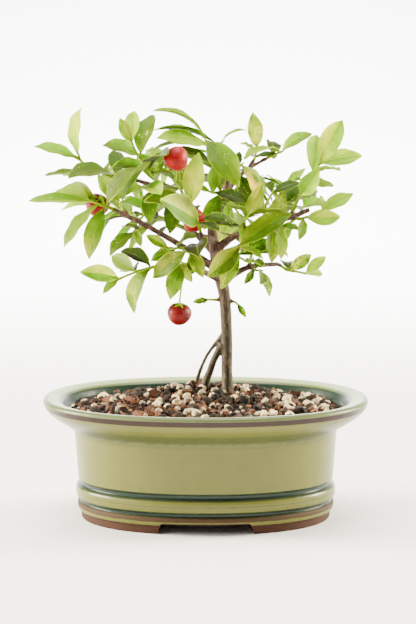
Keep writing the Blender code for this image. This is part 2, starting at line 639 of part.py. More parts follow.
def blade(length, width, fold, arch, rows=LEAF_ROWS, extra=0.0):
    """A leaf blade along +X with its face up, folded at the midrib, arched down to its tip.

    extra adds a clearance to it all round.
    """
    last = len(rows) - 1
    bm = bmesh.new()
    bmesh.ops.create_grid(bm, x_segments=last, y_segments=2, size=1.0)
    for vertex in bm.verts:
        share, fullness = rows[round((vertex.co.x + 1) / 2 * last)]
        half = width / 2 * fullness + extra
        bend = arch * share
        reach = (length + extra * share) * share
        x = reach * math.sin(bend) / bend if bend else 0.0
        drop = reach * (1 - math.cos(bend)) / bend if bend else 0.0
        across = vertex.co.y * half * math.cos(fold)
        rise = abs(vertex.co.y) * half * math.sin(fold)
        vertex.co = Vector((x + rise * math.sin(bend), across, rise * math.cos(bend) - drop)) * MM
    bmesh.ops.remove_doubles(bm, verts=bm.verts, dist=0.001 * MM)
    bmesh.ops.triangulate(bm, faces=bm.faces)
    bmesh.ops.recalc_face_normals(bm, faces=bm.faces)
    bm.normal_update()
    thickness = (BLADE_THICKNESS + 2 * extra) * MM
    for vertex in bm.verts:
        vertex.co -= vertex.normal * thickness / 2
    bmesh.ops.solidify(bm, geom=bm.faces[:], thickness=-thickness)
    bmesh.ops.recalc_face_normals(bm, faces=bm.faces)
    return bm


def planned_leaves(routes):
    """Every leaf before anything is in its way: those with a place to reach to first.

    Opposite pairs stand a quarter turn apart along a stem, with the youngest and smallest at its tip.
    """
    leaves = []
    for number, spray in enumerate(SPRAYS):
        draw = random.Random(SEED * 100 + number)
        for back in range(spray.pairs):
            age = back / max(1, spray.pairs - 1)
            share = YOUNGEST_AT - (YOUNGEST_AT - OLDEST_AT) * age
            base, stem = along(routes[spray.name], share)
            for side in (0,) if spray.single else (0, 1):
                sway = draw.uniform(-ROLL_SWAY, ROLL_SWAY)
                roll = math.radians(spray.roll + 90 * back + 180 * side + sway)
                sway = draw.uniform(-SPREAD_SWAY, SPREAD_SWAY)
                spread = math.radians(spray.spread + OLD_SPREAD * age + sway)
                sag = spray.sag + OLD_SAG * age + draw.uniform(-SAG_SWAY, SAG_SWAY)
                length = spray.leaf * draw.uniform(*LENGTH_RANGE) * (1.0 if age else YOUNG_SIZE)
                width = WIDTH_PER_LENGTH * draw.uniform(*WIDTH_RANGE)
                tilt = math.radians(draw.uniform(-TILT_SWAY, TILT_SWAY))
                fold = math.radians(draw.uniform(*FOLD_RANGE))
                arch = draw.uniform(*ARCH_RANGE)
                turn = 2 * back + side
                tip = spray.tips[turn] if turn < len(spray.tips) else None
                if tip:
                    chord = point(tip) - base
                else:
                    chord = ruled_direction(stem, roll, spread, sag) * length * MM
                outward = (base - point(CROWN_CENTRE)).normalized()
                facing = LIGHT_FROM + outward * OUTWARD_PULL
                if tip and len(tip) > 3:
                    turned_up = math.radians(tip[3])
                    facing = FRONT * math.cos(turned_up) + (UP + outward) * math.sin(turned_up)
                    tilt = 0.0
                if tip and len(tip) > 4:
                    arch = tip[4]
                leaves.append((not tip, spray.name, base, chord, facing, tilt, width, fold, arch))
    return sorted(leaves, key=lambda leaf: leaf[0])


def ruled_direction(stem, roll, spread, sag):
    """The way a leaf points when it leaves its stem at a roll and spread, and sags."""
    side = stem.cross(UP)
    side = side.normalized() if side.length > 0.1 else Vector((1, 0, 0))
    over = side.cross(stem).normalized()
    radial = side * math.cos(roll) + over * math.sin(roll)
    return (stem * math.cos(spread) + radial * math.sin(spread) - UP * sag).normalized()


def blade_pose(base, chord, facing, tilt, arch):
    """The matrix that sets a blade on its stem so that its tip lies along chord."""
    ahead = chord.normalized()
    facing = facing - ahead * facing.dot(ahead)
    if facing.length < STEEPEST_FACING:
        facing = Vector((0, -1, 0)) - ahead * -ahead.y
    facing = Matrix.Rotation(tilt, 3, ahead) @ facing.normalized()
    half = arch / 2
    forward = ahead * math.cos(half) + facing * math.sin(half)
    face = facing * math.cos(half) - ahead * math.sin(half)
    return Matrix.Translation(base) @ Matrix((forward, face.cross(forward), face)).transposed().to_4x4()


def detours():
    """(swing, lift, push, size) changes to try where a leaf would cross something, the least change first.

    push sets a leaf's tip further back or nearer to the front.
    """
    options = []
    for size in DETOUR_SIZES:
        for swing in DETOUR_SWINGS:
            for lift in DETOUR_LIFTS:
                for push in DETOUR_PUSHES:
                    cost = abs(swing) + abs(lift) + abs(push) + (1 - size) * SHRINK_COST
                    options.append((cost, math.radians(swing), math.radians(lift), push, size))
    return sorted(options)


def detoured(chord, facing, option):
    """A leaf's chord with one of the detours."""
    _, swing, lift, push, size = option
    across = chord.cross(facing).normalized()
    swung = Matrix.Rotation(lift, 3, across) @ Matrix.Rotation(swing, 3, facing.normalized()) @ chord
    return swung * size + point((0, push, 0))


def blade_shape(chord, width, fold, arch):
    """(length, width, fold, arch) of a blade whose two ends are a chord apart."""
    length = chord.length / MM * (arch / 2) / math.sin(arch / 2)
    return length, length * width, fold, arch


class Obstacle:
    """A closed mesh that leaves keep clear of."""

    def __init__(self, owner, points, faces):
        self.owner = owner
        self.tree = BVHTree.FromPolygons(points, faces)
        self.low = [min(spot[axis] for spot in points) for axis in range(3)]
        self.high = [max(spot[axis] for spot in points) for axis in range(3)]

    def meets(self, other):
        near = all(self.low[a] <= other.high[a] and other.low[a] <= self.high[a] for a in range(3))
        return near and bool(self.tree.overlap(other.tree))


def solid_obstacle(owner, thing):
    """An object as an obstacle, whole and free part alike."""
    points = [vertex.co.copy() for vertex in thing.data.vertices]
    obstacle = Obstacle(owner, points, [list(face.vertices) for face in thing.data.polygons])
    return obstacle, obstacle


def blade_obstacle(owner, shape, pose, extra=0.0):
    """A blade as an obstacle, whole and without the end that is joined to its stem."""
    bm = blade(*shape, CLEAR_ROWS, extra)
    reach = shape[0] * FREE_BLADE_FROM * MM
    points = [pose @ vertex.co for vertex in bm.verts]
    whole = [[vertex.index for vertex in face.verts] for face in bm.faces]
    is_free = [face.calc_center_median().x > reach for face in bm.faces]
    free = [corners for corners, outer in zip(whole, is_free) if outer]
    bm.free()
    return Obstacle(owner, points, whole), Obstacle(owner, points, free)


def blocked(whole, free, obstacles):
    for solid, free_part in obstacles:
        if solid.owner == whole.owner:
            if free.meets(free_part):
                return True
        elif whole.meets(solid):
            return True
    return False


def grow_leaves(routes, obstacles):
    """The leaves of every spray as a list of (pose, blade shape), each clear of what is there before it."""
    grown = {spray.name: [] for spray in SPRAYS}
    options = detours()
    for _, name, base, chord, facing, tilt, width, fold, arch in planned_leaves(routes):
        for option in options:
            bent = detoured(chord, facing, option)
            shape = blade_shape(bent, width, fold, arch)
            pose = blade_pose(base, bent, facing, tilt, arch)
            if not blocked(*blade_obstacle(name, shape, pose, BLADE_CLEARANCE), obstacles):
                grown[name].append((pose, shape))
                obstacles.append(blade_obstacle(name, shape, pose))
                break
    return grown


def fruit_axis(fruit, routes):
    """Where a fruit's stalk leaves its stem, and the direction from the fruit's middle to its stalk."""
    root, _ = along(routes[fruit["on"]], fruit["at"])
    middle = point(fruit["centre"])
    return root, ((root - middle).normalized() + UP * STALK_RISE).normalized()


def stalk_parts(name, fruit, routes, collection):
    """A fruit's stalk and its calyx, to be fused to the stem."""
    root, axis = fruit_axis(fruit, routes)
    seat = point(fruit["centre"]) + axis * (fruit["radius"] * CALYX_SEAT + GAP) * MM
    knee = seat + axis * STALK_NECK * MM
    route = [root, root.lerp(knee, 0.6), knee, seat + axis * CALYX_HEIGHT / 3 * MM]
    stalk = tube(name + " stalk", route, [FRUIT_STALK_RADIUS * MM] * len(route), collection, 0)
    bm = bmesh.new()
    bmesh.ops.create_cone(
        bm, cap_ends=True, segments=5, radius1=CALYX_RADIUS * MM, radius2=FRUIT_STALK_RADIUS * 1.3 * MM,
        depth=CALYX_HEIGHT * MM,
    )
    bmesh.ops.translate(bm, verts=bm.verts, vec=(0, 0, CALYX_HEIGHT / 2 * MM))
    bmesh.ops.rotate(bm, verts=bm.verts, matrix=axis.to_track_quat("Z", "Y").to_matrix())
    bmesh.ops.translate(bm, verts=bm.verts, vec=seat)
    return [stalk, object_from(bm, name + " calyx", collection)]


def make_fruit(name, fruit, routes, collection, material):
    """A cherry: a flattened ball with three soft lobes and a dimple at its stalk."""
    radius = fruit["radius"] * MM
    bm = bmesh.new()
    bmesh.ops.create_uvsphere(bm, u_segments=FRUIT_SIDES, v_segments=FRUIT_RINGS, radius=radius)
    for vertex in bm.verts:
        height = vertex.co.z / radius
        around = math.atan2(vertex.co.y, vertex.co.x)
        wide = 1 + LOBE_DEPTH * math.cos(LOBES * around) * (1 - height**2)
        flat = DIMPLE_HEIGHT if height > 0.99 else FRUIT_FLATNESS * height
        vertex.co = (vertex.co.x * wide, vertex.co.y * wide, flat * radius)
    _, axis = fruit_axis(fruit, routes)
    bmesh.ops.rotate(bm, verts=bm.verts, matrix=axis.to_track_quat("Z", "Y").to_matrix())
    bmesh.ops.translate(bm, verts=bm.verts, vec=point(fruit["centre"]))
    made = object_from(bm, name, collection)
    finish(made, material)
    return made


def make_spray(spray, route, leaves, stalks, collection, material):
    """One leafy stem: its leaves and fruit stalks fused to it."""
    first, last = STEM_RADIUS
    radii = [(first + (last - first) * step / (len(route) - 1)) * MM for step in range(len(route))]
    stem = tube(spray.name, route, radii, collection, 0)
    repeats = make_collection(spray.name + " repeats")
    for number, (pose, shape) in enumerate(leaves):
        bm = blade(*shape)
        bmesh.ops.transform(bm, matrix=pose, verts=bm.verts)
        object_from(bm, f"{spray.name} leaf {number}", repeats)
    for part in stalks:
        collection.objects.unlink(part)
        repeats.objects.link(part)
    boolean(stem, "UNION", repeats)
    finish(stem, material)


def main():
    clear_scene()
    materials = {name: make_material(name) for name in COLOURS}
    bonsai = make_collection("barbados cherry bonsai")
    make_pot(bonsai, materials["glaze"])
    make_soil(bonsai, materials["soil"])
    make_screen("drain_screen_left", -1, bonsai, materials["net"])
    make_screen("drain_screen_right", 1, bonsai, materials["net"])
    tree = make_tree(bonsai, materials["bark"])
    routes = {spray.name: stem_route(spray) for spray in SPRAYS}
    stalks = {spray.name: [] for spray in SPRAYS}
    obstacles = [solid_obstacle("trunk", tree)]
    for name, fruit in FRUITS.items():
        parts = stalk_parts(name, fruit, routes, bonsai)
        stalks[fruit["on"]] += parts
        obstacles += [solid_obstacle(fruit["on"], part) for part in parts]
        obstacles.append(solid_obstacle(name, make_fruit(name, fruit, routes, bonsai, materials["fruit"])))
    for spray in SPRAYS:
        route = routes[spray.name]
        bare = tube("bare stem", route, [STEM_RADIUS[0] * MM] * len(route), bonsai, 0)
        obstacles.append(solid_obstacle(spray.name, bare))
        bpy.data.objects.remove(bare)
    grown = grow_leaves(routes, obstacles)
    for spray in SPRAYS:
        name = spray.name
        make_spray(spray, routes[name], grown[name], stalks[name], bonsai, materials["leaf"])


main()
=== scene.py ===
"""The looks of a Barbados cherry bonsai: its pot, soil, wood, leafy stems and fruit.

The settings in the panel are in metres. The values in capitals are in millimetres, turned to metres by MM,
where they are lengths and their heading doesn't say otherwise. +Z is up, and -Y is the front.
"""

import math
import random
from collections import namedtuple

import bmesh
import bpy
from bpy.props import FloatProperty, FloatVectorProperty, IntProperty, PointerProperty
from bpy.types import Operator, Panel, PropertyGroup
from mathutils import Matrix, Vector, noise
from mathutils.kdtree import KDTree


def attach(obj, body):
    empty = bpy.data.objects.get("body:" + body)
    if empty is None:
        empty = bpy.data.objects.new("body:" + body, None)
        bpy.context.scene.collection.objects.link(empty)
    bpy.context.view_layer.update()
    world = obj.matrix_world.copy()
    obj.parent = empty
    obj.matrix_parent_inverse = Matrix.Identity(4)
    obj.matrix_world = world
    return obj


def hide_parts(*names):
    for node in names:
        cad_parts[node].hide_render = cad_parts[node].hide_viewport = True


bl_info = {
    "name": "Barbados Cherry Bonsai",
    "version": (1, 0, 0),
    "blender": (4, 5, 0),
    "location": "3D View > Sidebar > Bonsai",
    "description": "Builds the pot, soil, wood, leafy stems and cherries of a small bonsai on its frame",
    "category": "Add Mesh",
}

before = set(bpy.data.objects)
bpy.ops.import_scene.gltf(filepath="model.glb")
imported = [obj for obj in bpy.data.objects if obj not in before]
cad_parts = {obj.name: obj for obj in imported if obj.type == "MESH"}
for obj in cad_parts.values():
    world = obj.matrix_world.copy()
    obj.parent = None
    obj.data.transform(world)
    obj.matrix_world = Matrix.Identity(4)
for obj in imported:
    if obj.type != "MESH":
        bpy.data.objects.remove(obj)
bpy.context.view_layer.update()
BODY = "root"

MM = 0.001
UP = Vector((0, 0, 1))
SEED = 12
# Fractal noise: how fast its layers fade, how much finer each is than the last, and how many there are
FRACTAL = (1.0, 2.0, 3)

# The pot's oval and its heights
RIM_HALF_LENGTH = 76.0
RIM_HALF_DEPTH = 60.5
RIM_WIDTH = 8.7
RIM_TOP = 56.5
OVERHANG = 14.6
COVE_BOTTOM = 41.0
BODY_TAPER = 1.5
WALL = 4.6
FLOOR_TOP = 11.0
RECESS_TOP = 6.0
FOOT_WIDTH = 6.0
NOTCH_HALF_WIDTH = 20.0
NOTCH_SLOPE = 3.0
NOTCH_BOTTOM = -2.0
NOTCH_HEIGHT = 5.0
DRAIN_RADIUS = 5.5
DRAIN_OFFSET = 25.0
DRAIN_CUT = 20.0
ROUNDING_STEPS = 3
# The power of the oval's curve, and the half length inside which the oval is evened out to nothing
OVAL_POWER = 2.2
OVAL_CORE = 40.0
# What is left between pieces that touch, and how near corners are one
GAP = 0.3
WELD = 0.005

# What the glaze does at a place, each a share: (pooled dark and painted shade, broken brown, bare clay, pale)
GLAZE = {
    "body": (0.0, 0.0, 0.0, 0.0),
    # Painted shade: under the rim's overhang the dark share stands for shade, fading at both ends
    "shaded_cove": (0.62, 0.0, 0.0, 0.0),
    "fade": (0.2, 0.0, 0.0, 0.0),
    # The pale share, on the rim's flat and lip, is the rim's paler glaze and partly a painted reflection
    "pale": (0.0, 0.0, 0.0, 1.0),
    "lip": (0.45, 0.0, 0.0, 0.35),
    "bank": (0.75, 0.0, 0.0, 0.0),
    "pool": (1.0, 0.0, 0.0, 0.0),
    "line": (0.15, 0.3, 0.0, 0.0),
    "break": (0.0, 1.0, 0.0, 0.0),
    "stripe": (0.0, 0.3, 0.85, 0.0),
    "inner": (1.0, 0.0, 0.0, 0.0),
    "bare": (0.0, 0.0, 1.0, 0.0),
}

# The soil: its mound and larger grains, as the solid one has them. The insets are from the rim's inner edge
SOIL_EDGE = 52.3
SOIL_INSET = 2.3
MOUND_HEIGHT = 5.6
MOUND_CENTRE = (1.0, 13.0)
MOUND_SPREAD = 26.0
RIPPLE_HEIGHT = 0.5
RIPPLE_WAVES = (0.31, 0.27)
GRAINS = 54
GRAIN_INSET = 6.5
GRAIN_RADIUS = (1.7, 3.2)
GRAIN_SHIFT = 1.5
GOLDEN_ANGLE = math.radians(137.5)

# The growth rules of the solid tree, which the fine leaves follow: angles in degrees, arches in radians
LEAF_ROWS = ((0.0, 0.0), (0.33, 0.92), (0.66, 0.86), (1.0, 0.0))
BLADE_THICKNESS = 0.7
WIDTH_PER_LENGTH = 0.42
YOUNGEST_AT = 0.93
OLDEST_AT = 0.28
YOUNG_SIZE = 0.94
OLD_SPREAD = 14
OLD_SAG = 0.12
ROLL_SWAY = 14
SPREAD_SWAY = 8
SAG_SWAY = 0.08
LENGTH_RANGE = (0.88, 1.08)
WIDTH_RANGE = (0.9, 1.1)
TILT_SWAY = 28
FOLD_RANGE = (8, 24)
ARCH_RANGE = (0.25, 0.85)
OUTWARD_PULL = 0.5
STEEPEST_FACING = 0.15
DETOUR_SIZES = (1.0, 0.88, 0.76)
DETOUR_SWINGS = (0, 6, -6, 12, -12, 20, -20, 30, -30, 44, -44)
DETOUR_LIFTS = (0, 8, -8, 18, -18, 32, -32)
DETOUR_PUSHES = (0, 4, -4, 8, -8, 13, -13)
SHRINK_COST = 140
CROWN_CENTRE = (0, 0, 125)
LIGHT_FROM = Vector((0, -0.3, 0.8))
FRONT = Vector((0, -1, 0))
SPUR_LENGTH = 1.2
SPUR_RADIUS = (0.95, 0.85)
STEM_RADIUS = (0.8, 0.5)
# How near a solid leaf's corners are to the rule's for it to be that leaf
MATCH = 0.05

# The fine leaves. A place along a leaf is a share of its length
LEAF_CELLS = (12, 4)
PETIOLE_END = 0.07
BLADE_FROM = 0.05
NARROWEST = 0.06
CUP = 0.45
BLADE_SKEW = 0.97
BLADE_FULLNESS = 0.82
BLADE_LEAN = 0.5
WAVES = 17.0
WAVE_RANGE = (0.4, 1.3)
PETIOLE_SIDES = 6
PETIOLE_DROP = 0.32
PETIOLE_PLACES = (BLADE_FROM, 0.16, 0.3)
PETIOLE_RADII = (0.42, 0.38, 0.3, 0.16)
SIDE_VEINS = 7.0
VEIN_SLANT = 0.42
SPOT_SPACING = 1.6
# How young a leaf looks, from 0 to 1, by its age on the stem, and painted light and shade by its place in the
# crown
CROWN_REACH = 70.0
CROWN_HEIGHT = 60.0
YOUTH_BASE = 0.3
YOUTH_BY_AGE = -0.34
# Painted light and shade: a leaf far out and high is painted lighter, one deep in the crown darker
PAINTED_LIGHT_BY_REACH = 0.34
PAINTED_LIGHT_BY_HEIGHT = 0.18
YOUTH_SWAY = 0.22
STAINED_LEAVES = ((24, -11, 147),)
# The same for the leaves that show most, by where their tips are: 0 is dark green, and 1 is lime. Each tone
# holds the leaf's own colour and painted light and shade: lime where it is lit, dark where it is shaded
LEAF_TONES_AND_LIGHT = {
    (-55, -30, 191): 0.75, (-75, -30, 176): 0.8, (-71, -32, 161): 0.55, (-65, -12, 160): 0.6,
    (-39, -12, 186): 0.4, (-33, -14, 189): 0.9, (-46, -22, 174): 0.4, (-24, -6, 187): 0.45,
    (-78, -40, 150): 0.85, (-63, -36, 129): 0.5, (-52, -38, 124): 0.35, (-33, -36, 166): 0.4,
    (-25, -32, 169): 0.35, (-27, -42, 150): 0.35, (-27, -47, 149): 0.35, (-3, -34, 171): 0.75,
    (15, -15, 155): 0.5, (-24, -6, 189): 0.6, (-24, 12, 180): 0.3, (-22, -15, 177): 0.8,
    (-15, 2, 172): 0.1, (22, 16, 188): 0.3, (50, 16, 178): 0.5, (62, -14, 185): 0.85,
    (71, -22, 169): 0.85, (51, -9, 178): 0.75, (51, -28, 164): 0.7, (60, -28, 163): 0.65,
    (67, -16, 152): 0.9, (61, -14, 143): 0.75, (42, -28, 132): 0.5, (44, 0, 156): 0.1,
    (36, 12, 154): 0.15, (39, -18, 143): 0.45, (20, -13, 147): 0.15, (24, -11, 147): 0.45,
    (1, -33, 116): 0.3, (-16, -27, 105): 0.35, (-34, -31, 99): 0.35, (-56, -34, 118): 0.6,
    (57, 19, 120): 0.75, (56, 16, 111): 0.7, (19, 9, 180): 0.55, (7, -28, 110): 0.2,
}
# The twig: how deep it stands in its spur, how young it looks from foot to tip, and how it swells at leaves
TWIG_STEPS = 6
TWIG_SIDES = 8
TWIG_OVERLAP = 0.6
TWIG_AGES = (0.15, 0.9)
TWIG_AGE_SWAY = 0.06
NODE_SWELL = 0.22
NODE_SHARPNESS = 22
# The bud at the twig's tip: (how far past the tip, radius)
BUD_SIDES = 6
BUD = ((-0.2, 0.5), (0.7, 0.42), (1.5, 0.1))
BUD_YOUTH = 0.9

# The places of a leafy stem's materials: the leaves' upper skin is the first
LOWER_SKIN = 1
TWIG_SKIN = 2

# The fruit and its stalk
LOBES = 3
LOBE_DEPTH = 0.04
FRUIT_SIZE = 1.04
# How tall a fruit is for its width, how far its stalk's end leans to the front, and how dark it is:
# partly its own deeper red, partly painted shade for the fruit that hangs under the crown
FRUIT_LOOKS = {
    "cherry_hanging": (0.93, 0.5, 0.55),
    "cherry_top": (1.06, 0.0, 0.0),
    "cherry_front": (0.95, 0.0, 0.1),
    "cherry_left": (0.95, 0.0, 0.1),
}
# How much wider a fruit is near its stalk, and how deep its two dimples are and how soon they fade, in radii
SHOULDER = 0.1
STALK_DIMPLE = 0.18
STALK_DIMPLE_FADE = 0.05
SCAR_DIMPLE = 0.06
SCAR_FADE = 0.02
# Painted shade: how much darker the skin is in a groove, in the dimple at the stalk and at the scar
GROOVE_SHADE = 0.3
STALK_SHADE = 0.3
SCAR_SHADE = 0.4
DOT_SPACING = 1.1
FRUIT_STALK_STEPS = 4
FRUIT_STALK_SIDES = 8
FRUIT_STALK_RADIUS = 0.5
FRUIT_STALK_YOUTH = 0.9
STALK_SEAT = 0.98
STALK_SUNK = 0.3
STALK_RISE = 0.9
STALK_NECK = 2.6
# The calyx, a star of sepals round a boss
CALYX_CELLS = (40, 8)
SEPALS = 5
SEPAL_REACH = 3.3
SEPAL_GAP = 1.1
SEPAL_LIFT = 0.25
CALYX_BOSS = 0.6
CALYX_YOUTH = 0.7

# The wood
LIMB_STEPS = 8
LIMB_SIDES = 16
SMOOTHINGS = 3
SPUR_STEPS = 4
RIDGE_STRETCH = 4.0
RIDGE_WIDTH = 1.1
OLD_BARK_TO = 85.0
YOUNG_BARK_FROM = 125.0

# The soil's bed and grains
BED_STEPS = 120
BED_RINGS = 40
BED_CRUMB = 2.2
BED_ROUGHNESS = 0.45
BED_BEVEL = 0.6
# Each kind of grain: its material, its settings for colour and pits, its roughness, and its pits' size
GRAINS_BY_KIND = {
    "peat_crumbs": ("sphagnum_peat", "peat", "damp", 0.95, 0.8),
    "bark_chips": ("milled_pine_bark", "bark_chip", "bark_pit", 0.8, 1.2),
    "perlite_grains": ("expanded_perlite", "perlite", "perlite_pit", 0.75, 0.9),
    "green_grain": ("algae_on_perlite", "moss", "damp", 0.6, 1.0),
}
LOOSE_KINDS = ("perlite_grains", "bark_chips", "peat_crumbs")
# The share of each loose kind among the large and the small grains
LARGE_FROM = 1.7
LARGE_SHARES = (0.32, 0.24, 0.44)
SMALL_SHARES = (0.1, 0.42, 0.48)
SMALL_INSET = 4.0
SMALL_SCATTER = 0.4
SMALL_RADIUS = (0.6, 2.3)
SMALL_BIAS = 1.8
# How high a grain's middle is over the bed, and how far its corners are thrown about, in its radii
GRAIN_RISE = (0.1, 0.6)
GRAIN_JOLT = 0.16
DARKEST_GRAIN = 1.1
LUMP_STRETCH = (0.75, 1.15)
CHIP_FULLNESS = 1.5
CHIP_LENGTH = 1.35
CHIP_WIDTH = (0.7, 1.1)
CHIP_HEIGHT = (0.45, 0.8)
# How far the bed settles at the wall, and how much deeper the grains lie there, in their radii
WALL_DIP = 1.6
WALL_SINK = 0.7
# Where the green grain is
GREEN_AT = (23.0, -40.0)

# The stage, in metres and watts: (name, place, aim, width, power, spread in degrees, colour)
FLOOR_SIZE = 1.9
BACKDROP_HEIGHT = 2.2
BACKDROP_BEND = 0.7
SKY_STRENGTH = 0.3
LIGHTS = (
    ("overhead", (0.0, 0.15, 1.3), (0, 0, 0.1), 0.9, 36.0, 180, "#FFFFFF"),
    ("front_left", (-1.1, -0.8, 0.7), (0, 0, 0.09), 0.6, 10.0, 180, "#FFFFFF"),
    ("side_left", (-1.25, 0.1, 0.5), (0, 0, 0.12), 0.6, 36.0, 100, "#FFF7E0"),
    ("side_right", (1.25, 0.3, 0.5), (0, 0, 0.12), 0.6, 30.0, 100, "#FFF7E0"),
    ("backdrop_left", (-0.6, 0.7, 1.2), (-0.2, 1.4, 0.0), 0.5, 38.0, 90, "#FFFFFF"),
    ("backdrop_right", (0.6, 0.7, 1.2), (0.2, 1.4, 0.0), 0.5, 38.0, 90, "#FFFFFF"),
)

# Woody parts: points (x, y, z, radius) along each
TRUNK = (
    (11, 11, 36, 2.4), (11, 10, 46, 3.0), (10.5, 10, 56, 2.9), (10, 10, 67, 2.6), (10, 9, 82, 2.6),
    (9, 8, 101, 2.7), (7, 6, 112, 3.2), (5, 5, 120, 2.9), (4, 5, 127, 2.5), (3, 4, 135, 2.2),
    (6, 5, 143, 2.0), (9, 6, 150, 1.8), (10, 6, 158, 1.5), (7, 4, 164, 1.2), (3, 2, 170, 1.0),
)
BOUGHS = {
    "left": (
        (7, 6, 114, 2.2), (-9, -4, 126, 1.5), (-26, -15, 137, 1.2), (-35, -22, 142, 1.1),
        (-40, -26, 145, 0.9),
    ),
    "low_left": ((8, 6, 110, 1.8), (-5, -6, 117, 1.1), (-16, -16, 119, 0.9)),
    "low_right": ((7, 6, 109, 1.9), (20, 10, 116, 1.3), (34, 16, 117, 1.0)),
    "right": (
        (4, 5, 124, 2.2), (14, 0, 132, 1.6), (26, -8, 138, 1.4), (38, -14, 141, 1.3), (47, -18, 145, 1.1),
    ),
    "top_right": ((9, 6, 150, 1.5), (14, 9, 157, 1.1), (20, 13, 162, 0.9), (27, 16, 166, 0.8)),
    "top_left": ((3, 4, 135, 1.9), (-7, -4, 146, 1.4), (-19, -12, 154, 1.1), (-30, -18, 158, 0.9)),
    "back_left": ((5, 6, 122, 2.0), (-5, 20, 131, 1.4), (-18, 32, 136, 1.0)),
    "back": ((4, 5, 138, 1.8), (8, 20, 145, 1.3), (10, 32, 150, 1.0)),
    "back_right": ((6, 6, 118, 2.0), (20, 22, 127, 1.4), (36, 32, 132, 1.0)),
    "front": ((4, 4, 129, 1.8), (1, -14, 132, 1.2), (-2, -26, 134, 1.0)),
    "front_right": ((5, 5, 122, 1.8), (9, -8, 125, 1.2), (13, -17, 127.5, 0.9)),
}
ROOTS = {
    "thin_prop": ((8, 9, 84, 1.2), (2, 12, 76, 0.8), (-1, 16, 70, 0.8), (-4, 20, 61, 1.0), (-6, 22, 48, 1.0)),
    "thick_prop": ((8, 9, 80, 1.8), (4, 11, 72, 1.6), (2, 13, 66, 1.7), (0, 15, 60, 1.9), (-2, 17, 46, 1.6)),
    "buried_front": ((11, 10, 48, 2.2), (14, -4, 42, 1.6), (18, -18, 34, 0.9)),
    "buried_right": ((11, 10, 47, 2.2), (24, 16, 41, 1.6), (36, 18, 32, 0.9)),
    "buried_left": ((11, 10, 46, 2.2), (0, 2, 38, 1.6), (-14, -6, 28, 0.9)),
}


class Spray:
    """One leafy stem: the bough and point that it springs from, its route, and how its leaf pairs are set.

    tips are the places that its leaves reach to, from the stem's tip back. A leaf with none follows the rule
    of roll, spread and sag. A tip's fourth number is how many degrees the blade is turned up and out from
    facing the front, and its fifth is the blade's arch.
    """

    def __init__(self, name, on, route, pairs, leaf, tips=(), roll=0, spread=50, sag=0.12, single=False):
        self.name = "leafy_stem_" + name
        self.on = on
        self.route = route
        self.pairs = pairs
        self.leaf = leaf
        self.tips = tips
        self.roll = roll
        self.spread = spread
        self.sag = sag
        self.single = single


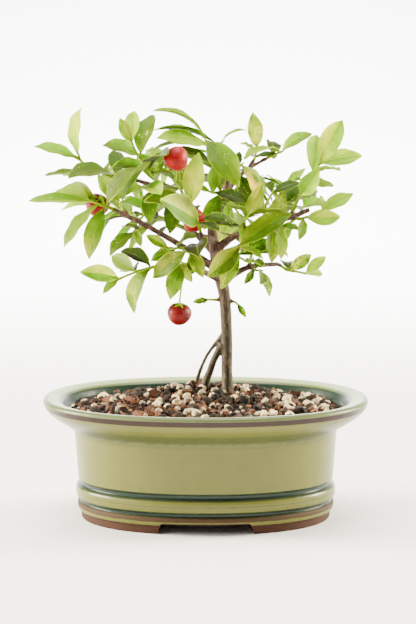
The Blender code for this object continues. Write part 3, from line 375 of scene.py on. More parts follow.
SPRAYS = (
    Spray("top_left_tip", ("top_left", 3), ((-42, -19, 160), (-52, -20, 164), (-58, -22, 169)), 3, 25,
          ((-55, -30, 191, 48, 0.8), (-75, -30, 176, 50, 0.4), (-65, -12, 160, 60, 0.1),
           (-71, -32, 161, 62, 0.05), (-61, -24, 158, 35), (-42, -4, 171))),
    Spray("top_left_up", ("top_left", 2), ((-25, -13, 162), (-31, -13, 170), (-34, -13, 176)), 3, 22,
          ((-39, -12, 186, 30), (-33, -14, 189, 30), (-46, -22, 174, 25, 1.0), (-24, -6, 187, 45),
           (-42, -22, 164, 30), (-15, -39, 167))),
    Spray("top_left_front", ("top_left", 2), ((-23, -20, 155), (-28, -28, 156)), 2, 25,
          (None, None, None, (-25, -34, 140, 30)), roll=20, spread=55),
    Spray("cherry_stem", ("top_left", 1), ((-11, -14, 153), (-14, -22, 159)), 2, 22,
          ((-24, -36, 162), (-8, -20, 155), None, (-16, -30, 135, 40)), roll=10, spread=55),
    Spray("left_tip", ("left", 4), ((-46, -28, 147.5), (-52, -30, 150)), 3, 27,
          ((-78, -40, 150, 68, 0.1), (-68, -20, 153, 60), (-64, -16, 157, 15, 0.5),
           (-63, -36, 129, 80, 0.3), (-52, -38, 124, 30), (-33, -36, 166))),
    Spray("left_up", ("left", 3), ((-37, -26, 147), (-38, -28, 149)), 1, 28,
          ((-25, -32, 169), (-50, -14, 162))),
    Spray("left_down", ("left", 2), ((-29, -19, 136), (-32, -22, 135)), 2, 22,
          ((-43, -30, 125, 40, 0.9), (-29, -27, 129, 20), (-36, -8, 143), (-35, -14, 131)), sag=0.2),
    Spray("left_low", ("left", 1), ((-13, -12, 127), (-17, -18, 127)), 2, 23,
          ((-27, -16, 133, 30), None, None, (-25, -20, 121, 30)), roll=30, sag=0.45),
    Spray("left_back", ("left", 2), ((-33, -5, 141), (-42, 4, 144), (-50, 9, 146)), 3, 24,
          (None, (-68, 15, 142, 60), None, None, (-50, 8, 138))),
    Spray("low_left_tip", ("low_left", 2), ((-24, -20, 119), (-32, -24, 117), (-40, -28, 114)), 3, 24,
          ((-56, -34, 118, 35), (-46, -31, 108, 40), (-43, -10, 123, 40), (-37, -2, 118),
           (-34, -31, 99, 70, 1.5), (-39, -8, 125))),
    Spray("low_left_under", ("low_left", 1), ((-9, -14, 120), (-11, -20, 121)), 2, 20,
          ((-16, -27, 105, 25), (-6, -27, 112, 40), (-22, -10, 108)), sag=0.4),
    Spray("front_right_tip", ("front_right", 2), ((14.5, -21, 128), (16, -25, 129)), 2, 23,
          ((1, -33, 116), (26, -28, 123), (7, -28, 110, 15), (39, -18, 143))),
    Spray("front_right_low", ("front_right", 1), ((15, -12, 123), (19, -15, 121)), 2, 20,
          (None, (23, -10, 120), None, (11, -20, 117)), roll=40, sag=0.35),
    Spray("front_centre", ("front", 2), ((-3, -29, 139), (-6, -32, 144), (-7, -34, 148)), 2, 25,
          ((-27, -42, 150, 50, 1.1), (-3, -34, 171, 30), (-27, -47, 149, 25), (6, -44, 137))),
    Spray("front_low", ("front", 1), ((-4, -21, 129), (-8, -26, 127)), 2, 22,
          ((-24, -20, 114, 30), (-1, -28, 115), None, (-9, -20, 115)), roll=25, sag=0.4),
    Spray("crown", ("trunk", 14), ((1.5, 0.7, 173.5), (0, -0.5, 176)), 2, 26,
          ((-24, -6, 189, 75, 1.2), (15, -15, 155, 20), (-22, -15, 177, 30, 0.5))),
    Spray("crown_back", ("trunk", 13), ((7, 9, 168), (6, 13, 173)), 2, 23,
          ((-24, 12, 180, 75, 0.8), (19, 9, 180, 55, 1.1), (4, 30, 163)), roll=10),
    Spray("crown_low", ("trunk", 12), ((6, -1, 162), (3, -4, 165)), 1, 22,
          ((-15, 2, 172, 60), (3, -13, 152))),
    Spray("crown_right", ("trunk", 12), ((14, 1, 162), (17, -2, 165)), 2, 21,
          ((24, -11, 147), (30, -6, 152, 30, -0.1), (16, 4, 170, 40)), roll=15),
    Spray("right_back", ("trunk", 10), ((13, 10, 149), (20, 13, 156), (26, 14, 158.5)), 3, 19,
          ((36, 12, 154), (41, 14, 145), (30, 6, 145), None, (20, 1, 146)), sag=0.2),
    Spray("crown_front", ("trunk", 11), ((6, -2, 152), (3, -8, 152)), 2, 21,
          ((20, -13, 147), (-13, -20, 155))),
    Spray("top_right_tip", ("top_right", 3), ((31, 17, 168), (36, 18, 170)), 2, 19,
          ((50, 16, 178, 30, 0.9), (18, 8, 167), (31, 34, 174), (33, 24, 170, 60)), roll=20),
    Spray("top_right_up", ("top_right", 2), ((23, 14, 167), (24, 15, 171)), 2, 20,
          ((22, 16, 188, 15), (16, 8, 174, 40), (18, 22, 166, 40), (33, 18, 176, 40))),
    Spray("right_top", ("right", 3), ((40, -14, 145), (45, -15, 155), (49, -17, 162), (52, -18, 167)), 4, 22,
          ((62, -14, 185, 50), (71, -22, 169, 30), (51, -9, 178, 30), (60, -28, 163, 60), (59, -6, 155, 60),
           None, (51, -28, 164, 20), (48, -20, 152))),
    Spray("right_tip", ("right", 3), ((43, -20, 141), (49, -22, 143), (53, -23, 145)), 2, 22,
          ((67, -16, 152, 78, 0.1), (55, -10, 148), (42, -28, 132, 35), (61, -14, 143, 20, 0.1))),
    Spray("right_mid_up", ("right", 2), ((28, -6, 147), (31, -3, 152)), 2, 21,
          ((44, 0, 156, 50),), roll=20),
    Spray("right_mid_front", ("right", 2), ((30, -15, 137), (34, -20, 138)), 2, 22,
          ((34, -28, 123), (42, -24, 141), None, (30, -20, 121)), sag=0.2),
    Spray("right_front", ("right", 1), ((17, -11, 138), (19, -18, 142)), 3, 21, roll=10, sag=0.15),
    Spray("low_right_tip", ("low_right", 2), ((39, 17, 114), (44, 18, 113), (48, 19, 112)), 2, 15,
          ((57, 19, 120, 20), (56, 16, 111, 55), (50, 22, 121, 30, 0.9), (38, 34, 116))),
    Spray("low_right_under", ("low_right", 1), ((23, 7, 115), (26, 5, 115)), 2, 13,
          ((30, 2, 103, 35), (25, -2, 110, 40), (18, 1, 109, 30), (23, 20, 117)), sag=0.3),
    Spray("low_right_top", ("low_right", 1), ((22, 9, 123), (26, 9, 130)), 2, 21,
          (None, (39, 16, 120, 40), None, (31, 20, 123)), roll=10),
    Spray("trunk_left", ("trunk", 5), ((3.5, 6.5, 101), (1.5, 6, 101.2)), 1, 9,
          ((-6, 4, 100),), single=True),
    Spray("trunk_right", ("trunk", 5), ((13.5, 7, 100), (15, 6.5, 99)), 1, 9,
          ((19, 3, 93, 20),), single=True),
    Spray("back_left_tip", ("back_left", 2), ((-27, 35, 138), (-36, 36, 140)), 3, 25, roll=10),
    Spray("back_left_up", ("back_left", 2), ((-20, 33, 146), (-24, 33, 155)), 3, 24, sag=0.0),
    Spray("back_left_side", ("back_left", 1), ((-17, 23, 137), (-29, 22, 142)), 3, 25, spread=52),
    Spray("back_left_crown", ("back_left", 1), ((-8, 19, 143), (-13, 17, 155), (-18, 16, 163)), 3, 24),
    Spray("back_tip", ("back", 2), ((11, 37, 155), (10, 40, 160)), 3, 23,
          ((18, 40, 165), None, (11, 44, 167), None, None, (29, 38, 153)), roll=10, sag=0.05),
    Spray("back_crown", ("back", 1), ((6, 22, 157), (3, 21, 169)), 3, 25,
          ((-7, 25, 170), (10, 28, 172)), sag=0.05),
    Spray("back_low", ("back", 2), ((13, 37, 144), (16, 40, 139)), 2, 23, sag=0.3),
    Spray("back_right_tip", ("back_right", 2), ((43, 34, 137), (47, 34, 143)), 2, 20,
          (None, None, None, (38, 34, 125)), roll=10),
    Spray("back_right_up", ("back_right", 2), ((38, 31, 142), (39, 29, 151)), 3, 24,
          ((29, 28, 153), (48, 34, 161)), sag=0.0),
    Spray("back_right_side", ("back_right", 1), ((30, 24, 134), (37, 24, 141)), 2, 21,
          (None, None, None, (32, 26, 126))),
)
FRUITS = {
    "cherry_hanging": dict(on="leafy_stem_low_left_under", at=0.5, centre=(-12, -24, 98), radius=5.3),
    "cherry_top": dict(on="leafy_stem_cherry_stem", at=0.9, centre=(-13, -32, 168.5), radius=5.2),
    "cherry_front": dict(on="leafy_stem_front_centre", at=0.3, centre=(-5.3, -20, 140), radius=5.2),
    "cherry_left": dict(on="leafy_stem_left_tip", at=0.35, centre=(-49, -20, 147), radius=5.2),
}


PlannedLeaf = namedtuple("PlannedLeaf", "tip age base chord facing tilt width fold arch")


def hex_colour(code):
    """An sRGB hex value as linear red, green, blue and alpha."""
    channels = [int(code[place:place + 2], 16) / 255 for place in (1, 3, 5)]
    linear = [value / 12.92 if value <= 0.04045 else ((value + 0.055) / 1.055) ** 2.4 for value in channels]
    return (*linear, 1.0)


def colour_setting(name, description, code):
    return FloatVectorProperty(
        name=name, description=description, default=hex_colour(code), subtype="COLOR", size=4, min=0.0,
        max=1.0,
    )


def length_setting(name, description, value):
    return FloatProperty(
        name=name, description=description, default=value * MM, min=0.0, unit="LENGTH", precision=5
    )


def share_setting(name, description, value):
    return FloatProperty(
        name=name, description=description, default=value, min=0.0, max=1.0, subtype="FACTOR"
    )


def count_setting(name, description, value, least, most):
    return IntProperty(name=name, description=description, default=value, min=least, max=most)


class PotSettings(PropertyGroup):
    """The glazed stoneware pot."""

    steps: count_setting("Steps", "Facets round the pot", 176, 24, 400)
    glaze: colour_setting("Glaze", "Ash glaze where it lies evenly", "#64642A")
    glaze_thick: colour_setting("Glaze, thick", "Ash glaze where it lies thicker", "#595B26")
    # The rim's flat: partly its own paler glaze, partly a painted reflection of light from above
    pale: colour_setting("Rim", "Glaze on the flat of the rim", "#93A368")
    # Also the colour of the painted shade under the rim's overhang
    pooled_and_shaded: colour_setting("Pooled glaze", "Glaze where it runs thick into a groove", "#17281E")
    broken: colour_setting("Broken glaze", "Glaze where it thins over an edge", "#250F07")
    speck: colour_setting("Specks", "Iron specks in the glaze", "#4A3A20")
    clay: colour_setting("Clay", "Bare fired clay of the feet", "#432716")
    grit: colour_setting("Grit", "Dark grit in the bare clay", "#2E1A10")


class SoilSettings(PropertyGroup):
    """The gritty soil."""

    small_grains: count_setting("Small grains", "Loose small grains on the bed", 1700, 0, 4000)
    peat: colour_setting("Peat", "Dark crumbs of peat", "#281709")
    bark_chip: colour_setting("Bark chips", "Chips of pine bark", "#6E3F18")
    perlite: colour_setting("Perlite", "White expanded mineral grains", "#F2DBA4")
    moss: colour_setting("Green grain", "A grain that algae have turned green", "#1F3A26")
    damp: colour_setting("Damp", "Pits of the peat and of the green grain", "#120B07")
    bark_pit: colour_setting("Bark chips, pits", "Pits and splits of the bark chips", "#3C2114")
    perlite_pit: colour_setting("Perlite, pits", "Stained pits of the perlite", "#8E7C60")


class NetSettings(PropertyGroup):
    """The drain screens."""

    net: colour_setting("Net", "Black plastic net", "#151715")
    dust: colour_setting("Dust", "Film of soil on the net", "#3A3026")


class WoodSettings(PropertyGroup):
    """Trunk, boughs and roots."""

    voxel: length_setting("Detail", "Size of the facets of the wood", 0.38)
    relief: length_setting("Bark relief", "Height of the ridges in the bark", 0.16)
    upper: colour_setting("Bark, upper", "Brown bark of the boughs", "#4E3222")
    lower: colour_setting("Bark, lower", "Olive brown bark of the lower trunk", "#3B3320")
    crack: colour_setting("Bark, cracks", "Dark furrows in the bark", "#1D140E")
    flake: colour_setting("Bark, flakes", "Pale grey flakes on the bark", "#7A654C")


class LeafSettings(PropertyGroup):
    """The leafy stems."""

    thickness: length_setting("Thickness", "Thickness of a leaf blade", 0.3)
    wave: length_setting("Wave", "Height of the waves along a leaf's edge", 0.35)
    # Laid by youth with painted light and shade: old also paints shaded leaves, young lit outer ones
    old: colour_setting("Old leaf", "Upper side of the oldest leaves", "#26280A")
    grown: colour_setting("Grown leaf", "Upper side of full-grown leaves", "#46540C")
    fresh: colour_setting("Fresh leaf", "Upper side of this month's leaves", "#6A8408")
    young: colour_setting("Young leaf", "Upper side of the leaves at a stem's tip", "#9CBA0A")
    under: colour_setting("Underside", "Paler lower side of a leaf", "#5C7012")
    spot: colour_setting("Spots", "Cream spots on the leaves", "#DDD59A")
    stain: colour_setting("Stain", "Yellow stain of an ageing leaf", "#CDA010")
    green_twig: colour_setting("Green twig", "This month's twig", "#76883A")
    red_twig: colour_setting("Red twig", "A hardening twig", "#8A4C2C")
    brown_twig: colour_setting("Brown twig", "The foot of a twig, grown hard", "#4E3222")
    streak: colour_setting("Twig streaks", "Dark streaks along a twig", "#33251A")
    glow: share_setting("Glow", "Share of light that goes through a blade", 0.35)


class FruitSettings(PropertyGroup):
    """The cherries."""

    sides: count_setting("Sides", "Facets round a cherry", 48, 12, 96)
    ripe: colour_setting("Ripe", "Skin of a ripe cherry", "#960A0A")
    # Painted shade: the skin is darkened towards this colour in grooves and dimples and under the crown
    shaded: colour_setting("Shaded", "Deeper skin in the cherry's grooves", "#2E0306")
    dots: colour_setting("Dots", "Pale breathing dots on the skin", "#D8604A")


class StageSettings(PropertyGroup):
    """Floor, light and camera."""

    floor: colour_setting("Floor", "Pale floor and backdrop", "#F4F3F0")
    fibre: colour_setting("Fibres", "Paler fibres in the floor's paper", "#F8F7F4")
    sky: colour_setting("Sky", "Soft light from all round", "#FFFFFF")
    camera_height: length_setting("Camera height", "Above the table", 202.0)
    camera_distance: length_setting("Camera distance", "In front of the pot's middle", 868.0)
    camera_aside: length_setting("Camera aside", "Right of the pot's middle", 1.1)
    camera_dip: FloatProperty(
        name="Camera dip", description="How far the camera looks down", default=math.radians(6.96),
        subtype="ANGLE",
    )
    lens: FloatProperty(name="Lens", description="Focal length in millimetres", default=108.23)


def feed(tree, node, inputs):
    """Gives a node's inputs their values, or links them to a socket or to a node's first output in use."""
    for key, source in inputs.items():
        if isinstance(source, bpy.types.Node):
            source = next(socket for socket in source.outputs if socket.enabled)
        if isinstance(source, bpy.types.NodeSocket):
            tree.links.new(source, node.inputs[key])
        else:
            node.inputs[key].default_value = source


def add_node(tree, kind, inputs=None, stops=(), **settings):
    """Adds a shader node with its settings and inputs. A colour ramp's stops are each a place and a colour,
    or a place and a grey from 0 to 1."""
    node = tree.nodes.new("ShaderNode" + kind)
    for name, value in settings.items():
        setattr(node, name, value)
    if stops:
        elements = node.color_ramp.elements
        while len(elements) < len(stops):
            elements.new(1.0)
        for element, (place, colour) in zip(elements, stops):
            element.position = place
            element.color = (colour, colour, colour, 1.0) if isinstance(colour, float) else colour
    feed(tree, node, inputs or {})
    return node


def object_texture(tree, kind, size, stretch=(1, 1, 1), **inputs):
    """A texture on Object coordinates, with forms about size millimetres wide and any other inputs."""
    place = add_node(tree, "TexCoord").outputs["Object"]
    scaled = add_node(tree, "Mapping", {"Vector": place, "Scale": stretch})
    return add_node(tree, kind, {"Vector": scaled, "Scale": 1 / (size * MM), **inputs})


def make_material(name):
    """A material, its node tree and its Principled shader."""
    material = bpy.data.materials.new(name)
    material.use_nodes = True
    return material, material.node_tree, material.node_tree.nodes["Principled BSDF"]


def make_glaze(pot):
    """Reduction-fired ash glaze on thrown stoneware: cloudy olive, pooled dark green in the grooves,
    broken brown over the edges, with a few iron specks and a soft wet gloss. The feet are bare clay.
    Painted light: darker under the rim's overhang, painted shade; paler on the rim, partly painted
    reflection."""
    material, tree, shader = make_material("ash_glazed_stoneware")
    run = add_node(tree, "Attribute", attribute_name="glaze").outputs
    parts = add_node(tree, "SeparateColor", {"Color": run["Color"]}).outputs
    clouds = object_texture(tree, "TexNoise", 9.0, Detail=5.0, Roughness=0.65)
    ragged = object_texture(tree, "TexNoise", 2.0, Detail=2.0, Roughness=0.55)
    edge = add_node(tree, "Math", {0: ragged, 1: 0.75}, operation="ADD")
    edge = add_node(tree, "Math", {0: edge, 1: parts["Green"]}, operation="MULTIPLY")
    specks = object_texture(tree, "TexNoise", 1.2, Detail=1.0, Roughness=0.55)
    iron = add_node(tree, "ValToRGB", {"Fac": specks}, ((0.72, 0.0), (0.78, 0.4)))
    grit = object_texture(tree, "TexNoise", 0.9, Detail=3.0, Roughness=0.7)
    clay = add_node(tree, "Mix", {0: grit, 6: pot.clay, 7: pot.grit}, data_type="RGBA")
    colour = pot.glaze
    # Red: pooled glaze in the grooves and painted shade under the rim. Alpha: the rim's paler glaze, partly
    # painted reflection
    for share, coat in (
        (clouds, pot.glaze_thick), (run["Alpha"], pot.pale), (parts["Red"], pot.pooled_and_shaded), (edge, pot.broken),
        (iron, pot.speck), (parts["Blue"], clay),
    ):
        colour = add_node(tree, "Mix", {0: share, 6: colour, 7: coat}, data_type="RGBA")
    swells = object_texture(tree, "TexNoise", 6.0, Detail=2.0, Roughness=0.55)
    soft = add_node(tree, "Bump", {"Height": swells, "Distance": 0.2 * MM})
    feed(tree, shader, {
        "IOR": 1.53, "Metallic": 0.0, "Specular IOR Level": 0.22, "Base Color": colour,
        "Roughness": add_node(tree, "MapRange", {"Value": parts["Blue"], "To Min": 0.3, "To Max": 0.8}),
        "Normal": add_node(tree, "Bump", {"Height": grit, "Distance": 0.06 * MM, "Normal": soft}),
    })
    return material


def make_bark(wood):
    """Smooth young bark, split by growth: brown above, olive with age below, furrowed along the limb."""
    material, tree, shader = make_material("weathered_bark")
    place = add_node(tree, "TexCoord").outputs["Object"]
    height = add_node(tree, "SeparateXYZ", {"Vector": place}).outputs["Z"]
    ends = {"From Min": OLD_BARK_TO * MM, "From Max": YOUNG_BARK_FROM * MM}
    climb = add_node(tree, "MapRange", {"Value": height, **ends})
    flakes = object_texture(tree, "TexNoise", 2.2, (1, 1, 0.45), Detail=4.0, Roughness=0.65)
    pale = add_node(tree, "ValToRGB", {"Fac": flakes}, ((0.52, 0.0), (0.70, 0.75)))
    furrows = object_texture(tree, "TexNoise", 1.1, (1, 1, 0.3), Detail=5.0, Roughness=0.7)
    dark = add_node(tree, "ValToRGB", {"Fac": furrows}, ((0.34, 0.85), (0.52, 0.0)))
    colour = wood.lower
    for share, coat in ((climb, wood.upper), (pale, wood.flake), (dark, wood.crack)):
        colour = add_node(tree, "Mix", {0: share, 6: colour, 7: coat}, data_type="RGBA")
    feed(tree, shader, {
        "IOR": 1.45, "Metallic": 0.0, "Base Color": colour,
        "Roughness": add_node(tree, "MapRange", {"Value": furrows, "To Min": 0.9, "To Max": 0.68}),
        "Normal": add_node(tree, "Bump", {"Height": furrows, "Distance": 0.3 * MM}),
    })
    return material


def make_leaf_skin(leaf, name, upper):
    """A living leaf: waxy and glossy above, paler and duller below, with side veins that run out to its edge.
    Light from behind comes through it as a lime glow. Its ramp also paints light and shade, and its edge a
    painted glow."""
    material, tree, shader = make_material(name)
    if upper:
        stops = ((0.0, leaf.old), (0.35, leaf.grown), (0.7, leaf.fresh), (1.0, leaf.young))
    else:
        stops = ((0.0, leaf.fresh), (0.5, leaf.under), (1.0, leaf.young))
    shine, smoothest, roughest, vein_depth = (0.08, 0.4, 0.56, -0.18) if upper else (0.04, 0.6, 0.7, 0.18)
    mottle = object_texture(tree, "TexNoise", 6.0, Detail=3.0, Roughness=0.55)
    # The youth attribute carries painted light and shade too, so the ramp paints inner leaves dark and outer
    # ones lime
    age = add_node(tree, "Attribute", attribute_name="youth_and_shade").outputs["Fac"]
    tone = add_node(tree, "Math", {0: mottle, 1: 0.35, 2: age}, operation="MULTIPLY_ADD")
    tone = add_node(tree, "Math", {0: tone, 1: 0.17}, operation="SUBTRACT")
    blade = add_node(tree, "ValToRGB", {"Fac": tone}, stops)
    sheet = add_node(tree, "SeparateXYZ", {"Vector": add_node(tree, "UVMap", uv_map="blade")}).outputs
    aside = add_node(tree, "Math", {0: sheet["Y"], 1: 0.5}, operation="SUBTRACT")
    aside = add_node(tree, "Math", {0: aside}, operation="ABSOLUTE")
    comb = add_node(tree, "Math", {0: aside, 1: -VEIN_SLANT, 2: sheet["X"]}, operation="MULTIPLY_ADD")
    comb = add_node(tree, "Math", {0: comb, 1: SIDE_VEINS}, operation="MULTIPLY")
    comb = add_node(tree, "Math", {0: comb}, operation="FRACT")
    comb = add_node(tree, "Math", {0: comb, 1: 0.5}, operation="SUBTRACT")
    comb = add_node(tree, "Math", {0: comb}, operation="ABSOLUTE")
    veins = add_node(tree, "ValToRGB", {"Fac": comb}, ((0.0, 0.1), (0.12, 0.0)))
    midrib = add_node(tree, "ValToRGB", {"Fac": aside}, ((0.016, 0.55), (0.045, 0.0)))
    lines = add_node(tree, "Mix", {0: 1.0, 6: veins, 7: midrib}, data_type="RGBA", blend_type="LIGHTEN")
    # Painted light: a lime glow along the blade's edge, as light coming through it would show
    rim = add_node(tree, "ValToRGB", {"Fac": aside}, ((0.44, 0.0), (0.5, 0.3)))
    crowding = object_texture(tree, "TexNoise", 12.0, Detail=2.0, Roughness=0.55)
    inside = add_node(tree, "Math", {0: crowding, 1: 0.46}, operation="SUBTRACT")
    cells = object_texture(tree, "TexVoronoi", SPOT_SPACING)
    inside = add_node(tree, "Math", {0: inside, 1: cells}, operation="SUBTRACT")
    spots = add_node(tree, "ValToRGB", {"Fac": inside}, ((0.0, 0.0), (0.04, 0.85)))
    stained = add_node(tree, "Attribute", attribute_name="stain").outputs["Fac"]
    yellowed = add_node(tree, "Math", {0: sheet["X"], 1: 0.8, 2: mottle}, operation="MULTIPLY_ADD")
    yellowed = add_node(tree, "Math", {0: yellowed, 1: stained}, operation="MULTIPLY")
    patch = add_node(tree, "ValToRGB", {"Fac": yellowed}, ((0.8, 0.0), (1.0, 0.9)))
    colour = blade
    for share, coat in ((lines, leaf.under), (rim, leaf.young), (spots, leaf.spot), (patch, leaf.stain)):
        colour = add_node(tree, "Mix", {0: share, 6: colour, 7: coat}, data_type="RGBA")
    fine = object_texture(tree, "TexNoise", 2.0, Detail=3.0, Roughness=0.55)
    ribbed = add_node(tree, "Bump", {"Height": lines, "Distance": vein_depth * MM})
    pores = object_texture(tree, "TexNoise", 1.2, Detail=2.0, Roughness=0.55)
    feed(tree, shader, {
        "IOR": 1.42, "Metallic": 0.0, "Specular IOR Level": shine, "Subsurface Weight": leaf.glow,
        "Subsurface Scale": 1.4 * MM, "Subsurface Radius": (0.55, 1.0, 0.18), "Base Color": colour,
        "Roughness": add_node(tree, "MapRange", {"Value": fine, "To Min": smoothest, "To Max": roughest}),
        "Normal": add_node(tree, "Bump", {"Height": pores, "Distance": 0.05 * MM, "Normal": ribbed}),
    })
    return material


def make_twig_skin(leaf):
    """A soft twig of this season: green at its tip, reddish brown where it has begun to harden."""
    material, tree, shader = make_material("green_twig_skin")
    age = add_node(tree, "Attribute", attribute_name="youth_and_shade").outputs["Fac"]
    stops = ((0.0, leaf.brown_twig), (0.35, leaf.red_twig), (0.75, leaf.green_twig), (1.0, leaf.fresh))
    blend = add_node(tree, "ValToRGB", {"Fac": age}, stops)
    streaks = object_texture(tree, "TexNoise", 0.8, Detail=2.0, Roughness=0.55)
    dark = add_node(tree, "ValToRGB", {"Fac": streaks}, ((0.3, 0.4), (0.6, 0.0)))
    feed(tree, shader, {
        "IOR": 1.42, "Roughness": 0.55, "Metallic": 0.0,
        "Base Color": add_node(tree, "Mix", {0: dark, 6: blend, 7: leaf.streak}, data_type="RGBA"),
        "Normal": add_node(tree, "Bump", {"Height": streaks, "Distance": 0.1 * MM}),
    })
    return material


def make_cherry_skin(fruit):
    """Ripe acerola skin: thin, taut and glossy, with fine pale dots. Painted shade makes it deeper red in its
    grooves and dimples, and, with its own deeper red, darker on the fruit that hangs under the crown.
    """
    material, tree, shader = make_material("ripe_cherry_skin")
    clouds = object_texture(tree, "TexNoise", 4.0, Detail=3.0, Roughness=0.55)
    # Painted shade in the grooves and dimples and on the fruit under the crown, with cloudy tone
    shade_and_ripeness = add_node(tree, "Attribute", attribute_name="shade_and_ripeness").outputs["Fac"]
    deep = add_node(tree, "Math", {0: clouds, 1: 0.6, 2: shade_and_ripeness}, operation="MULTIPLY_ADD")
    deep = add_node(tree, "Math", {0: deep, 1: 0.2}, operation="SUBTRACT")
    skin = add_node(tree, "Mix", {0: deep, 6: fruit.ripe, 7: fruit.shaded}, data_type="RGBA")
    cells = object_texture(tree, "TexVoronoi", DOT_SPACING)
    dots = add_node(tree, "ValToRGB", {"Fac": cells}, ((0.10, 0.5), (0.20, 0.0)))
    feed(tree, shader, {
        "IOR": 1.44, "Metallic": 0.0, "Specular IOR Level": 0.2, "Subsurface Weight": 0.1,
        "Subsurface Scale": 1.5 * MM, "Subsurface Radius": (1.0, 0.22, 0.14),
        "Base Color": add_node(tree, "Mix", {0: dots, 6: skin, 7: fruit.dots}, data_type="RGBA"),
        "Roughness": add_node(tree, "MapRange", {"Value": clouds, "To Min": 0.42, "To Max": 0.52}),
        "Normal": add_node(tree, "Bump", {"Height": clouds, "Distance": 0.25 * MM}),
    })
    return material


def make_grain_skin(name, colour, pit, roughness, lump):
    """A soil grain, each with its own shade: crushed, so rough and pitted."""
    material, tree, shader = make_material(name)
    pits = object_texture(tree, "TexNoise", lump, Detail=4.0, Roughness=0.7)
    shade = add_node(tree, "Attribute", attribute_name="shade").outputs["Fac"]
    deep = add_node(tree, "Math", {0: pits, 1: 0.7, 2: shade}, operation="MULTIPLY_ADD")
    deep = add_node(tree, "Math", {0: deep, 1: 0.35}, operation="SUBTRACT")
    feed(tree, shader, {
        "IOR": 1.45, "Metallic": 0.0, "Roughness": roughness,
        "Base Color": add_node(tree, "Mix", {0: deep, 6: colour, 7: pit}, data_type="RGBA"),
        "Normal": add_node(tree, "Bump", {"Height": pits, "Distance": 0.4 * MM}),
    })
    return material


def make_net_plastic(screens):
    """Extruded polyethylene net, black, with a dull moulded skin."""
    material, tree, shader = make_material("polyethylene_net")
    dust = object_texture(tree, "TexNoise", 3.0, Detail=3.0, Roughness=0.55)
    film = add_node(tree, "ValToRGB", {"Fac": dust}, ((0.5, 0.0), (0.8, 0.5)))
    feed(tree, shader, {
        "IOR": 1.5, "Metallic": 0.0, "Roughness": 0.5,
        "Base Color": add_node(tree, "Mix", {0: film, 6: screens.net, 7: screens.dust}, data_type="RGBA"),
        "Normal": add_node(tree, "Bump", {"Height": dust, "Distance": 0.1 * MM}),
    })
    return material


def make_paper(stage):
    """Seamless studio paper: matt, with a faint cloud of fibres."""
    material, tree, shader = make_material("seamless_paper")
    cloud = object_texture(tree, "TexNoise", 4.0, Detail=3.0, Roughness=0.55)
    feed(tree, shader, {
        "IOR": 1.5, "Metallic": 0.0, "Roughness": 0.9,
        "Base Color": add_node(tree, "Mix", {0: cloud, 6: stage.floor, 7: stage.fibre}, data_type="RGBA"),
    })
    return material


def point(values):
    """A point in metres from its first three numbers in millimetres."""
    return Vector(values[:3]) * MM


def smooth_route(points, per_span):
    """Points on a curve that passes through the given ones."""
    padded = [points[0] * 2 - points[1], *points, points[-1] * 2 - points[-2]]
    route = []
    for a, b, c, d in zip(padded, padded[1:], padded[2:], padded[3:]):
        for step in range(per_span):
            t = step / per_span
            bend = (c - a) * t + (2 * a - 5 * b + 4 * c - d) * t**2 + (3 * b - a - 3 * c + d) * t**3
            route.append(b + bend * 0.5)
    return [*route, points[-1].copy()]


def object_from(bm, name):
    mesh = bpy.data.meshes.new(name)
    bm.to_mesh(mesh)
    bm.free()
    made = bpy.data.objects.new(name, mesh)
    bpy.context.scene.collection.objects.link(made)
    return made


def applied(thing):
    """The object's mesh with its modifiers applied."""
    bpy.context.view_layer.update()
    mesh = bpy.data.meshes.new_from_object(thing.evaluated_get(bpy.context.evaluated_depsgraph_get()))
    thing.modifiers.clear()
    thing.data = mesh
    return mesh


def place_piece(thing, nodes, materials, sharp=40):
    """Finishes a piece: its materials, its shading, its body and the nodes that it stands for."""
    if not thing.data.polygons:
        raise RuntimeError(thing.name + " has no faces")
    thing.data.materials.clear()
    for material in materials:
        thing.data.materials.append(material)
    thing.data.shade_smooth()
    thing.data.set_sharp_from_angle(angle=math.radians(sharp))
    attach(thing, BODY)
    if nodes:
        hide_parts(*nodes)
    return thing


def ring_edges(ring):
    """The edges between the corners of a ring, each once and always in the same order."""
    inside = set(ring)
    return list(dict.fromkeys(
        edge for spot in ring for edge in spot.link_edges if edge.other_vert(spot) in inside
    ))


def grow_tube(bm, route, radii, sides, painted=None, values=()):
    """A closed tube along a route: a disc that is pushed out ring by ring."""
    first = len(bm.faces)
    ring = bmesh.ops.create_circle(bm, cap_ends=True, segments=sides, radius=1.0)["verts"]
    heading = (route[1] - route[0]).normalized()
    turn = UP.rotation_difference(heading).to_matrix()
    before = Matrix.Identity(4)
    for number, (place, radius) in enumerate(zip(route, radii)):
        ahead = route[min(number + 1, len(route) - 1)] - route[max(number - 1, 0)]
        turn = heading.rotation_difference(ahead.normalized()).to_matrix() @ turn
        heading = ahead.normalized()
        pose = Matrix.Translation(place) @ (turn @ Matrix.Scale(radius, 3)).to_4x4()
        if number:
            grown = bmesh.ops.extrude_edge_only(bm, edges=ring_edges(ring))["geom"]
            ring = [spot for spot in grown if isinstance(spot, bmesh.types.BMVert)]
        bmesh.ops.transform(bm, matrix=pose @ before.inverted(), verts=ring)
        before = pose
        if painted is not None:
            for spot in ring:
                spot[painted] = values[number]
    bmesh.ops.contextual_create(bm, geom=ring_edges(ring))
    bm.faces.ensure_lookup_table()
    fresh = bm.faces[first:]
    bmesh.ops.recalc_face_normals(bm, faces=fresh)
    return fresh


def oval_depth(radius):
    """Half the depth of the oval whose half length is radius. The rim overhangs alike all round."""
    inset = RIM_HALF_LENGTH - RIM_HALF_DEPTH
    if radius > OVAL_CORE:
        return radius - inset
    return radius * (OVAL_CORE - inset) / OVAL_CORE


